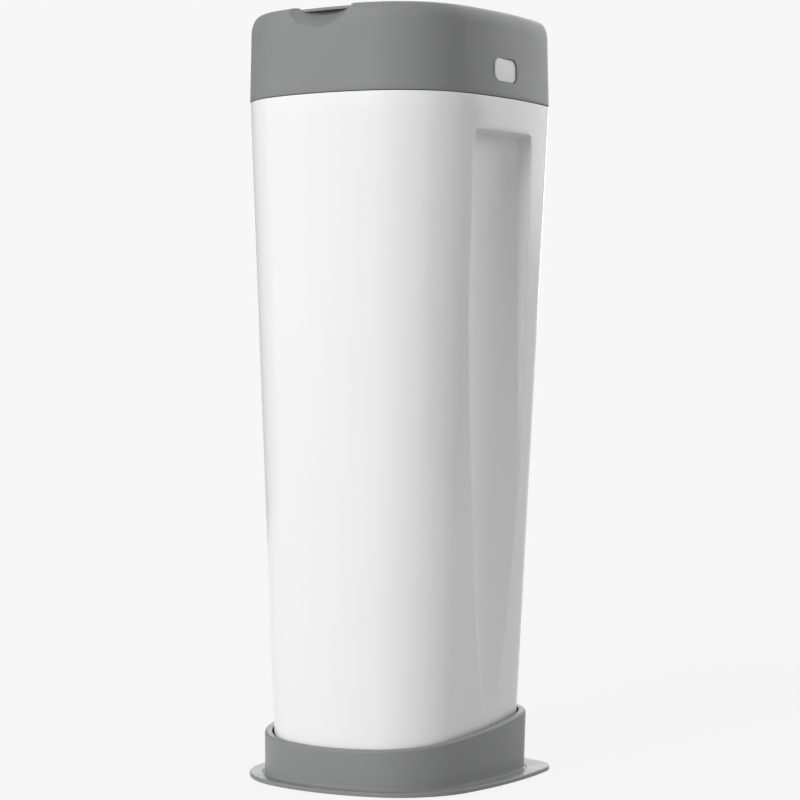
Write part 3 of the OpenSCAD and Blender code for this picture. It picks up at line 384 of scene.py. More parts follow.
class NodeKit:
    """Short calls for the nodes of a tree."""

    def __init__(self, tree: bpy.types.NodeTree) -> None:
        """Takes up a tree."""
        self.tree = tree

    def feed(self, node: bpy.types.Node, values: dict) -> None:
        """Sets a node's inputs, each to a constant or to another node's output."""
        for key, value in values.items():
            if isinstance(value, bpy.types.NodeSocket):
                self.tree.links.new(value, node.inputs[key])
            else:
                node.inputs[key].default_value = value

    def add(self, kind: str, values: dict, **settings: object) -> bpy.types.Node:
        """Adds a node, sets its properties and feeds its inputs."""
        node = self.tree.nodes.new(kind)
        for key, value in settings.items():
            setattr(node, key, value)
        self.feed(node, values)
        return node

    def sum(self, operation: str, *values: object) -> bpy.types.NodeSocket:
        """The result of a sum on numbers and outputs."""
        return self.add("ShaderNodeMath", dict(enumerate(values)), operation=operation).outputs[0]

    def mix(self, share: bpy.types.NodeSocket, first: Tint, second: Tint) -> bpy.types.NodeSocket:
        """Mixes two colours by a pattern."""
        node = self.add("ShaderNodeMix", {
            "Factor": share, "A": opaque(first), "B": opaque(second)}, data_type="RGBA")
        return next(s for s in node.outputs if s.type == "RGBA")

    def blend(self, share: object, first: bpy.types.Node,
              second: bpy.types.Node) -> bpy.types.Node:
        """Blends two shaders."""
        return self.add("ShaderNodeMixShader", {
            0: share, 1: first.outputs[0], 2: second.outputs[0]})


class Shader(NodeKit):
    """A material's node tree, with the patterns that the finishes share."""

    def __init__(self, name: str) -> None:
        """Starts a material with a surface shader."""
        self.material = bpy.data.materials.new(name)
        self.material.use_nodes = True
        super().__init__(self.material.node_tree)
        self.surface = self.tree.nodes["Principled BSDF"]
        self.place = self.tree.nodes.new("ShaderNodeTexCoord").outputs["Object"]

    def noise(self, size: float, detail: float = 3.0, rough: float = 0.5,
              stretch: Spot = (1.0, 1.0, 1.0)) -> bpy.types.NodeSocket:
        """A noise pattern over the object.

        Args:
            size: Width of one patch in millimetres.
            detail: Number of finer layers.
            rough: Share of the finer layers.
            stretch: Length of a patch along each axis, against its width.

        Returns:
            The pattern's value.
        """
        mapping = self.add("ShaderNodeMapping", {
            "Scale": [1.0 / (size * MM * s) for s in stretch], "Vector": self.place})
        return self.add("ShaderNodeTexNoise", {
            "Scale": 1.0, "Detail": detail, "Roughness": rough,
            "Vector": mapping.outputs["Vector"]}).outputs["Fac"]

    def spread(self, value: bpy.types.NodeSocket, low: float, high: float,
               start: float = 0.3, end: float = 0.7) -> bpy.types.NodeSocket:
        """Maps a pattern from its usual range, start to end, to low and high."""
        return self.add("ShaderNodeMapRange", {
            "From Min": start, "From Max": end, "To Min": low, "To Max": high,
            "Value": value}).outputs["Result"]

    def bump(self, height: bpy.types.NodeSocket, depth: float,
             over: bpy.types.NodeSocket | None = None) -> bpy.types.NodeSocket:
        """Adds relief of a depth in millimetres, over another relief."""
        under = {} if over is None else {"Normal": over}
        return self.add("ShaderNodeBump", {
            "Distance": depth * MM, "Height": height, **under}).outputs["Normal"]

    def finish(self, values: dict) -> bpy.types.Material:
        """Feeds the surface shader and gives the material."""
        self.feed(self.surface, values)
        return self.material


def opaque(tint: Tint) -> object:
    """A colour with full opacity, or an output as it is."""
    return tint if isinstance(tint, bpy.types.NodeSocket) else (*tint, 1.0)


def shade(colour: Colour, factor: float) -> Colour:
    """A colour made lighter or darker."""
    return tuple(min(1.0, c * factor) for c in colour)


@dataclass(frozen=True)
class MouldedPlastic:
    """Injection-moulded plastic: flow marks, a fine spark-eroded grain and handling wear."""

    name: str
    tone: Colour
    roughness: float
    roughness_spread: float = 0.04
    tone_spread: float = 0.02
    grain: float = 0.35
    grain_depth: float = 0.006
    sink: float = 60.0
    sink_depth: float = 0.0
    wear: float = 0.05
    matt_share: float = 0.0

    def material(self) -> bpy.types.Material:
        """Builds the material."""
        shader = Shader(self.name)
        flow = shader.spread(shader.noise(45.0, 4.0, 0.55, stretch=(1.0, 1.0, 2.4)), 0.0, 1.0)
        colour = shader.mix(flow, shade(self.tone, 1 - self.tone_spread),
                            shade(self.tone, 1 + self.tone_spread))
        edges = shader.add("ShaderNodeNewGeometry", {}).outputs["Pointiness"]
        patchy = shader.sum("MULTIPLY", shader.spread(edges, 0.0, 1.0, start=0.52, end=0.62),
                            shader.spread(shader.noise(9.0), 0.0, 1.0))
        colour = shader.mix(patchy, colour, shade(self.tone, 1 + self.wear))
        rough = shader.spread(shader.noise(28.0, 5.0, 0.6),
                              self.roughness - self.roughness_spread,
                              self.roughness + self.roughness_spread)
        if self.matt_share > 0.0:
            mark = shader.add("ShaderNodeAttribute", {}, attribute_name=MATT_MARK)
            rough = shader.sum("MULTIPLY_ADD", mark.outputs["Fac"], self.matt_share, rough)
        relief = None
        if self.sink_depth > 0.0:
            relief = shader.bump(shader.noise(self.sink, 1.0, 0.4), self.sink_depth)
        relief = shader.bump(shader.noise(self.grain, 2.0, 0.6), self.grain_depth, relief)
        return shader.finish({
            "Base Color": colour, "Roughness": rough, "Normal": relief, "IOR": 1.5})


@dataclass(frozen=True)
class DrawnSteel:
    """Drawn and turned steel: fine lines along the draw and a few duller patches."""

    name: str
    tone: Colour
    roughness: float
    draw: Spot = (14.0, 1.0, 1.0)

    def material(self) -> bpy.types.Material:
        """Builds the material."""
        shader = Shader(self.name)
        stain = shader.spread(shader.noise(6.0, 4.0), 0.0, 1.0)
        lines = shader.noise(0.16, 2.0, 0.6, stretch=self.draw)
        return shader.finish({
            "Metallic": 1.0,
            "Base Color": shader.mix(stain, shade(self.tone, 0.9), shade(self.tone, 1.05)),
            "Roughness": shader.spread(lines, self.roughness * 0.7, self.roughness * 1.4),
            "Normal": shader.bump(lines, 0.004)})


@dataclass(frozen=True)
class SoftRubber:
    """Moulded rubber: a matt skin with bloom, dust and fine pores."""

    name: str
    tone: Colour
    roughness: float = 0.72

    def material(self) -> bpy.types.Material:
        """Builds the material."""
        shader = Shader(self.name)
        bloom = shader.spread(shader.noise(7.0, 5.0, 0.65), 0.0, 1.0)
        return shader.finish({
            "Base Color": shader.mix(bloom, shade(self.tone, 0.85), shade(self.tone, 1.35)),
            "Roughness": shader.spread(shader.noise(2.5, 3.0), self.roughness - 0.06,
                                       self.roughness + 0.08),
            "Normal": shader.bump(shader.noise(0.5, 4.0, 0.7), 0.03),
            "Sheen Weight": 0.15})


@dataclass(frozen=True)
class ThinFilm:
    """Thin pleated plastic film: pale, glossy and slightly see-through."""

    name: str
    tone: Colour

    def material(self) -> bpy.types.Material:
        """Builds the material."""
        shader = Shader(self.name)
        haze = shader.spread(shader.noise(4.0, 4.0, 0.6, stretch=(1.0, 1.0, 3.0)), 0.0, 1.0)
        crinkle = shader.noise(1.6, 4.0, 0.65, stretch=(1.0, 1.0, 0.5))
        return shader.finish({
            "Base Color": shader.mix(haze, shade(self.tone, 0.93), shade(self.tone, 1.06)),
            "Roughness": shader.spread(crinkle, 0.16, 0.34),
            "Normal": shader.bump(crinkle, 0.12),
            "Subsurface Weight": 0.25,
            "Subsurface Scale": 2.0 * MM})


FINISHES = {
    "housing_grey": MouldedPlastic(
        "housing_grey_satin", (0.236, 0.238, 0.241), 0.42, grain=0.4, grain_depth=0.010),
    "tub_white": MouldedPlastic(
        "tub_white_gloss", (0.885, 0.887, 0.885), 0.16, roughness_spread=0.03,
        tone_spread=0.006, grain_depth=0.0012, sink_depth=0.02, wear=0.01, matt_share=0.34),
    "fitting_white": MouldedPlastic(
        "fitting_white_satin", (0.80, 0.80, 0.79), 0.36, tone_spread=0.012),
    "button_grey": MouldedPlastic(
        "button_light_grey", (0.88, 0.88, 0.88), 0.38, tone_spread=0.012),
    "clamp_grey": MouldedPlastic(
        "clamp_mid_grey", (0.50, 0.51, 0.52), 0.4),
    "spring_steel": DrawnSteel("bright_wire_steel", (0.62, 0.63, 0.65), 0.24),
    "pad_rubber": SoftRubber("charcoal_rubber", (0.055, 0.056, 0.06)),
    "film": ThinFilm("pale_film", (0.74, 0.79, 0.83)),
}


class Dresser:
    """Holds one material for each slot and places each finished piece on its body."""

    def __init__(self) -> None:
        """Builds every finish once."""
        self.materials = {slot: finish.material() for slot, finish in FINISHES.items()}
        self.slots = {row["node"]: row["material_slot"] for row in frame["record"]["subparts"]}

    def place(self, piece: bpy.types.Object, body: str, *nodes: str) -> None:
        """Dresses a new piece, rides it on a body and lets it stand for CAD nodes.

        Args:
            piece: The new piece.
            body: Body that carries it.
            nodes: CAD nodes that it replaces, the first of which gives its slot.
        """
        slot = self.slots[nodes[0]]
        piece.data.materials.clear()
        piece.data.materials.append(self.materials[slot])
        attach(piece, body)
        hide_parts(*nodes)
        log.info("%s: %d faces, rides on %s", piece.name, len(piece.data.polygons), body)

    def keep(self, *nodes: str) -> None:
        """Gives CAD nodes that stay in view their slots' materials."""
        for node in nodes:
            piece = frame["nodes"][node]
            if not piece.material_slots:
                piece.data.materials.append(None)
            for holder in piece.material_slots:
                holder.material = self.materials[self.slots[node]]
            log.info("%s: CAD shape kept", node)


# ---- Tub ----


@dataclass(frozen=True)
class Tub:
    """The white tub: it tapers to its foot and has a hollow grip in each side."""

    top_z: float = 594.5
    foot_z: float = 4.6
    wall: float = 2.8
    foot_half_w: float = 94.2
    foot_forward: float = 5.7
    grip_floor_x: float = 95.9
    grip_floor_r: float = 122.0
    grip_y: float = 3.0
    grip_half_w: float = 44.0
    grip_top_z: float = 566.0
    grip_lean: float = 1.6
    grip_corner: float = 5.0
    grip_least: float = 0.6
    halvings: int = 30
    floor_steps: int = 28
    side_steps: int = 9
    outer_round: float = 0.9
    inner_round: float = 1.6
    lip_round: float = 0.7
    foot_round: float = 0.5
    grip_tip_z: float = 55.9
    tip_crowding: float = 1.45
    tip_steps: int = 56
    plain_z: tuple[float, ...] = (572.0, 580.0)
    matt_from: float = 0.15
    matt_over: float = 0.6

    def share(self, z: np.ndarray | float) -> np.ndarray | float:
        """How far down the tub a height is, from 0 at the top to 1 at the foot."""
        return (self.top_z - z) / (self.top_z - self.foot_z)

    def scale(self, z: np.ndarray | float) -> np.ndarray | float:
        """Width of the tub at a height against its width at the top."""
        half = PLAN.points(np.array([90.0]))[0][0]
        return 1.0 - (1.0 - self.foot_half_w / half) * self.share(z)

    def points(self, angles: np.ndarray, z: float, out: float | np.ndarray = 0.0) -> np.ndarray:
        """Points of the tub's outline at a height."""
        shift = np.array([0.0, -self.foot_forward * self.share(z)])
        offset = np.asarray(out).reshape(-1, 1) * PLAN.normals(angles)
        return PLAN.points(angles) * self.scale(z) + shift + offset

    def ring(self, z: float, out: float) -> Ring:
        """A level ring round the tub without its grips."""
        return whole(level(self.points(ANGLES, z, out), z))

    def side_x(self, y: np.ndarray, z: np.ndarray, out: float) -> np.ndarray:
        """Distance of the tub's side from the middle."""
        start = PLAN.starts[2:3]
        middle = PLAN.points(start)[0] - PLAN.radii[2] * PLAN.normals(start)[0]
        s = self.scale(z)
        r = s * PLAN.radii[2] + out
        cy = s * middle[1] - self.foot_forward * self.share(z)
        return s * middle[0] + np.sqrt(r * r - (y - cy) ** 2)

    def floor_x(self, y: np.ndarray, out: float) -> np.ndarray:
        """Distance of a grip's hollow floor from the middle."""
        r = self.grip_floor_r
        inside = (r - out) ** 2 - (y - self.grip_y) ** 2
        return self.grip_floor_x + r - np.sqrt(np.maximum(inside, 1.0))

    def reach(self, side: int, z: float, out: float) -> float:
        """How far a grip's outline runs from its middle at a height, found by halving."""
        limit = self.grip_half_w - out
        low, high = 0.0, limit
        for _ in range(self.halvings):
            middle = (low + high) / 2.0
            y = np.array([self.grip_y + side * middle])
            if self.side_x(y, z, out)[0] > self.floor_x(y, out)[0]:
                low = middle
            else:
                high = middle
        above = z - (self.grip_top_z - self.grip_corner)
        trim = 0.0
        if above > 0.0:
            inside = max(0.0, self.grip_corner ** 2 - min(above, self.grip_corner) ** 2)
            trim = self.grip_corner - math.sqrt(inside)
        return max(self.grip_least, min(low, limit - trim))

    def half(self, z: float, out: float, is_open: bool) -> Ring:
        """The right half of the outline at a height, with the grip where it is open."""
        starts = PLAN.starts
        ends = self.points(starts[2:4], z, out)[:, 1]
        edge_0 = self.grip_y - self.reach(-1, z, out)
        edge_1 = self.grip_y + self.reach(1, z, out)
        lean = min(self.grip_lean, (edge_1 - edge_0) / 5.0)
        heights = np.array(z)

        def side(y: np.ndarray) -> np.ndarray:
            return np.column_stack([self.side_x(y, heights, out), y])

        def floor(y: np.ndarray) -> np.ndarray:
            x = self.side_x(y, heights, out)
            if is_open:
                x = np.minimum(x, self.floor_x(y, out))
            return np.column_stack([x, y])

        def wall_run(edge: float, sign: int) -> list[np.ndarray]:
            outer = np.array([edge])
            inner = outer + sign * lean
            before, after = side(outer - sign * 2.5), floor(inner + sign * 3.0)
            corner_0, corner_1 = side(outer), floor(inner)
            middle = (corner_0 + corner_1) / 2.0
            first = rounded_corner(before, corner_0, middle, self.outer_round, 5)[:, 0]
            second = rounded_corner(middle, corner_1, after, self.inner_round, 6)[:, 0]
            return [first, middle, second]

        front = wall_run(edge_0, 1)
        rear = wall_run(edge_1, -1)
        lead = np.linspace(0.0, 1.0, self.side_steps)[:-1]
        run_0 = side(ends[0] + (front[0][0][1] - ends[0]) * lead)
        run_1 = side(ends[1] + (rear[0][0][1] - ends[1]) * lead)
        between = np.linspace(front[2][-1][1], rear[2][-1][1], self.floor_steps)[1:-1]
        before = ANGLES[ANGLES < starts[2] - 0.01]
        after = ANGLES[ANGLES > starts[3] + 0.01]
        return level(np.concatenate([
            self.points(before, z, out), run_0, *front, floor(between),
            np.concatenate(rear)[::-1], run_1[::-1], self.points(after, z, out)]), z)

    def ledge(self, out: float) -> list[Ring]:
        """Rings from a grip's floor up over its ledge to the closed side above it."""
        closed = self.half(self.grip_top_z, out, False)
        opened = self.half(self.grip_top_z - self.grip_lean, out, True)
        lower = self.half(self.grip_top_z - 5.0 * self.grip_lean, out, True)
        upper = self.half(self.grip_top_z + 2.5, out, False)
        upper[:, :2] = closed[:, :2]
        middle = (closed + opened) / 2.0
        inner = rounded_corner(lower, opened, middle, self.inner_round, 5)
        outer = rounded_corner(middle, closed, upper, self.outer_round, 5)
        return [*inner, middle, *outer]

    def levels(self) -> list[float]:
        """Heights of the rings below a grip's ledge, closer together at its tip."""
        tip = self.grip_tip_z
        stop = self.grip_top_z - 5.0 * self.grip_lean - 1.0
        rise = [tip + (stop - tip) * (k / self.tip_steps) ** self.tip_crowding
                for k in range(self.tip_steps + 1)]
        return [self.foot_z + 0.8, 22.0, 40.0, *rise]

    def wall_rings(self, out: float) -> list[Ring]:
        """Rings of one face of the wall, from the foot to just under the top edge."""
        rings = [self.half(z, out, True) for z in self.levels()]
        rings += self.ledge(out)
        above = [*self.plain_z, self.top_z - self.lip_round]
        return rings + [self.half(z, out, False) for z in above]

    def mark_grips(self, shell: bpy.types.Object) -> None:
        """Marks the points that lie deeper than the tub's side, for the grips' matt finish."""
        mesh = shell.data
        spots = np.empty(len(mesh.vertices) * 3)
        mesh.vertices.foreach_get("co", spots)
        x, y, z = spots.reshape(-1, 3).T / MM
        inside = np.abs(y - self.grip_y) < self.grip_half_w
        depth = np.where(inside, self.side_x(np.where(inside, y, 0.0), z, 0.0) - np.abs(x), 0.0)
        matt = np.clip((depth - self.matt_from) / self.matt_over, 0.0, 1.0)
        mark = mesh.attributes.new(MATT_MARK, "FLOAT", "POINT")
        mark.data.foreach_set("value", matt.astype(np.float32))

    def build(self, dresser: Dresser) -> None:
        """Builds the shell and lets it stand for the CAD's."""
        outside = self.wall_rings(0.0)
        inside = self.wall_rings(-self.wall)
        lip = bend(self.lip_round, 3)[1:]
        over = [self.half(self.top_z - fall, -step, False) for fall, step in lip]
        back = [self.half(self.top_z - fall, step - self.wall, False) for fall, step in lip[::-1]]
        foot_out = self.half(self.foot_z, -self.foot_round, True)
        foot_in = self.half(self.foot_z, self.foot_round - self.wall, True)
        rings = [foot_out, *outside, *over, *back, *inside[::-1], foot_in]
        shell = Workshop.skin("tub_shell_smooth", [whole(r) for r in rings], wrap=True)
        self.mark_grips(shell)
        dresser.place(shell, "tub", "tub_shell")


TUB = Tub()


# ---- Base ----


@dataclass(frozen=True)
class Base:
    """The grey base: a flat flange, an upstand whose rim climbs to the back, and ribs."""

    skirt_z: float = 0.8
    flange_z: float = 4.6
    flange_t: float = 2.2
    flange_out: float = 1.0
    skirt_w: float = 2.4
    edge: float = 0.9
    rim_out: float = 8.3
    rim_draft: float = 1.0
    rim_gap: float = 1.8
    rim_wall: float = 3.0
    rim_lip: float = 4.0
    rim_edge: float = 2.6
    rim_inner_edge: float = 0.6
    rim_front_z: float = 36.8
    rim_rear_z: float = 61.1
    groove: float = 0.7
    rib_half: float = 0.75
    stay: Spot = (13.0, 1.5, 13.0)
    stays: int = 4
    pad_x: float = 66.0
    pad_y: float = 70.0
    pad_r: float = 9.0

    def rim_z(self, y: np.ndarray) -> np.ndarray:
        """Height of the rim along the depth of the bin."""
        rise = self.rim_rear_z - self.rim_front_z
        return self.rim_front_z + rise * (y + REAR_Y) / (2 * REAR_Y)

    def rim_ring(self, out: float, drop: float) -> Ring:
        """A ring that follows the climbing rim, a distance below it."""
        middle = (self.rim_front_z + self.rim_rear_z) / 2.0
        y = TUB.points(ANGLES, middle, self.rim_out)[:, 1]
        z = self.rim_z(y) - drop
        points = np.array([TUB.points(np.array([a]), h, out)[0] for a, h in zip(ANGLES, z)])
        return whole(level(points, z))

    def rings(self) -> list[Ring]:
        """Rings from the ceiling under the flange, round the outside, to the inner floor."""
        inner = self.flange_out - self.skirt_w
        ceiling = self.flange_z - self.flange_t
        edge = bend(self.edge, 5)
        rings = [plan_ring(ceiling, inner - 0.3), plan_ring(self.skirt_z, inner)]
        rings += [plan_ring(self.skirt_z + step, self.flange_out - fall) for fall, step in edge]
        rings += [plan_ring(self.flange_z - fall, self.flange_out - step) for fall, step in edge]
        foot = self.rim_out + self.rim_draft
        flat = self.flange_z
        # The groove at the upstand's foot: out from the tub, and rise above the flange.
        profile = [(foot + 3.2, 0.0), (foot + 2.6, -0.1), (foot + 2.3, -self.groove),
                   (foot + 1.5, -self.groove), (foot + 1.2, -0.1), (foot + 0.9, 0.0),
                   (foot + 0.25, 0.25)]
        rings += [TUB.ring(flat + rise, out) for out, rise in profile]
        low = TUB.ring(flat + 1.0, foot - 0.02)
        high = self.rim_ring(self.rim_out, self.rim_edge)
        rings += [low + (high - low) * k / 8 for k in range(8)]
        rings += [self.rim_ring(self.rim_out - step, fall) for fall, step in bend(self.rim_edge, 9)]
        rings += [self.rim_ring(self.rim_gap + step, fall)
                  for fall, step in bend(self.rim_inner_edge, 4)[::-1]]
        rings.append(self.rim_ring(self.rim_gap, self.rim_lip - 1))
        rings.append(self.rim_ring(self.rim_out - self.rim_wall, self.rim_lip + 1))
        rings.append(TUB.ring(flat, foot - self.rim_wall))
        return rings

    @property
    def hollow(self) -> np.ndarray:
        """The right half of the hollow's outline under the flange."""
        return plan_half(self.flange_out - self.skirt_w)

    def half_width(self, y: float) -> float:
        """Half of the hollow's width at a place along the bin."""
        points = self.hollow
        return float(np.interp(y, points[:, 1], points[:, 0]))

    def half_depth(self, x: float, front: bool) -> float:
        """Where the hollow's front or back lies at a place across."""
        points = self.hollow
        widest = int(np.argmax(points[:, 0]))
        run = points[:widest] if front else points[widest:][::-1]
        return float(np.interp(abs(x), run[:, 0], run[:, 1]))

    def ribs(self) -> Iterable[bpy.types.Object]:
        """Ribs under the flange, the pads' sockets, and the ribs in the tub's foot."""
        top = self.flange_z - self.flange_t + 0.5
        thick = self.rib_half
        for k in (-1, 0, 1):
            at = k * self.pad_y / 2.0
            half = self.half_width(at) + 0.5
            yield Workshop.block(f"rib_x{k}", (-half, at - thick, self.skirt_z),
                                 (half, at + thick, top), 0.2)
            yield Workshop.block(
                f"rib_y{k}", (at - thick, self.half_depth(at, True) - 0.5, self.skirt_z),
                (at + thick, self.half_depth(at, False) + 0.5, top), 0.2)
        outer, inner = self.pad_r + 2.0, self.pad_r + 0.4
        for x in (-self.pad_x, self.pad_x):
            for y in (-self.pad_y, self.pad_y):
                yield Workshop.skin("pad_socket", [
                    level(circle(r, full_turn(64), x, y), z)
                    for r, z in ((outer, self.skirt_z), (outer, top),
                                 (inner, top), (inner, self.skirt_z))], wrap=True)
        reach, half, height = self.stay
        for a in np.linspace(22.5, 157.5, self.stays):
            spot = TUB.points(np.array([a]), TUB.foot_z, -TUB.wall - 0.4)[0]
            move = Matrix.Translation(Vector((*spot, self.flange_z)) * MM)
            turn = Matrix.Rotation(math.radians(a - 90.0), 4, "Z")
            for side in Side:
                rib = Workshop.block("tub_rib", (-reach, -half, -0.4), (0.0, half, height), 0.5)
                rib.data.transform(move @ turn)
                yield handed(rib, side)

    def build(self, dresser: Dresser) -> None:
        """Builds the tray and lets it stand for the CAD's."""
        tray = Workshop.skin("base_tray_smooth", self.rings())
        tray = Workshop.join("base_tray_smooth", [tray, *self.ribs()])
        dresser.place(tray, "base", "base_tray")


# ---- Head ----


@dataclass(frozen=True)
class Head:
    """The grey head: a rounded cap with the lid's opening, a finger scoop and button ways."""

    seam_z: float = 595.1
    top_z: float = 670.0
    lean: float = 1.6
    wall: float = 2.8
    edge_w: float = 8.1
    edge_h: float = 15.2
    edge_steps: int = 22
    rim_w: float = 11.6
    ledge_w: float = 12.0
    ledge_z: float = 656.8
    ledge_t: float = 6.0
    opening_rear: float = 78.374
    lip: float = 1.0
    scoop_r: float = 56.3
    scoop_y: float = -141.95
    scoop_z: float = 701.7
    barrel_half: float = 85.4
    barrel_y: float = 85.774
    barrel_floor_z: float = 654.2
    swing_gap: float = 9.4
    knuckle_r: float = 5.6
    knuckle_half: float = 33.0
    hinge_y: float = 110.774
    hinge_z: float = 600.7
    web_back: float = 5.6
    web_rise: float = 12.0
    relief_h: float = 4.0
    relief_half: float = 130.0
    room_half: float = 43.0
    room_depth: float = 30.0
    below_z: float = 590.0
    above_z: float = 700.0

    def lean_in(self, z: float) -> float:
        """How far the wall leans in at a height."""
        return self.lean * (z - TUB.top_z) / (self.top_z - TUB.top_z)

    @property
    def slope(self) -> float:
        """How far the wall leans in for each millimetre up."""
        return self.lean / (self.top_z - TUB.top_z)

    def ring(self, z: float, out: float) -> Ring:
        """A ring of the leaning wall."""
        return plan_ring(z, out - self.lean_in(z))

    def rings(self) -> list[Ring]:
        """Rings up the outside, over the rim, down to the ledge and down the inside."""
        start = self.top_z - self.edge_h
        rings = [self.ring(self.seam_z, -0.4), self.ring(self.seam_z + 0.12, -0.12),
                 self.ring(self.seam_z + 0.4, 0.0)]
        rings += [self.ring(z, 0.0)
                  for z in np.linspace(self.seam_z + 4.0, start, self.edge_steps)]
        rings += [self.ring(self.top_z - self.edge_h * fall, -self.edge_w * step)
                  for fall, step in bend(1.0, self.edge_steps)[1:]]
        inner = -self.rim_w - self.lean_in(self.top_z)
        rear = self.opening_rear
        rings += [plan_ring(self.top_z - fall, inner + step, rear + step)
                  for fall, step in bend(self.lip, 5)[::-1]]
        ledge = -self.rim_w - self.ledge_w
        return rings + [
            plan_ring(self.ledge_z + 6.0, inner, rear),
            plan_ring(self.ledge_z + 0.6, inner, rear),
            plan_ring(self.ledge_z, inner - 0.6, rear - 0.6),
            plan_ring(self.ledge_z, ledge + 0.5, rear - self.ledge_w + 0.5),
            plan_ring(self.ledge_z - 0.5, ledge, rear - self.ledge_w),
            plan_ring(self.ledge_z - self.ledge_t, ledge, rear - self.ledge_w),
            self.ring(self.ledge_z - self.ledge_t, -self.wall),
            self.ring(self.seam_z + 4.0, -self.wall),
            self.ring(self.seam_z, -self.wall + 0.3),
        ]

    def scoop(self, grow: float = 0.0) -> bpy.types.Object:
        """The ball whose hollow is the finger scoop."""
        return Workshop.ball("scoop", (0.0, self.scoop_y, self.scoop_z), self.scoop_r + grow)

    def build(self, dresser: Dresser) -> None:
        """Builds the housing and lets it stand for the CAD's."""
        housing = Workshop.skin("head_housing_smooth", self.rings(), wrap=True)
        back_y = self.hinge_y - self.knuckle_r - 1.0
        past_y = back_y + self.room_depth
        room, half = self.room_half, self.knuckle_half
        hinge_top = self.hinge_z + self.knuckle_r
        both = (Side.RIGHT, Side.LEFT)
        Workshop.combine(
            housing, Join.CUT,
            Workshop.block("room", (-room, back_y, self.below_z), (room, past_y, hinge_top + 0.7)),
            Workshop.block("relief", (-self.relief_half, back_y, self.below_z),
                           (self.relief_half, past_y, TUB.top_z + self.relief_h)))
        Workshop.combine(
            housing, Join.ADD,
            Workshop.block("web", (-half, self.hinge_y - 1.0, self.hinge_z),
                           (half, self.hinge_y + self.web_back, hinge_top + self.web_rise)),
            Workshop.rod("knuckle", (-half, self.hinge_y, self.hinge_z),
                         (half, self.hinge_y, self.hinge_z), self.knuckle_r),
            *[BUTTON.pocket(side) for side in both])
        barrel = self.barrel_half + 1.0
        Workshop.combine(
            housing, Join.CUT, self.scoop(),
            Workshop.block("barrel_room", (-barrel, self.opening_rear - 1.0, self.barrel_floor_z),
                           (barrel, self.barrel_y + self.swing_gap, self.above_z)),
            *[BUTTON.way(side) for side in both],
            *[BUTTON.tongue_slot(side) for side in both])
        dresser.place(housing, "head", "head_housing")


# ---- Side buttons ----


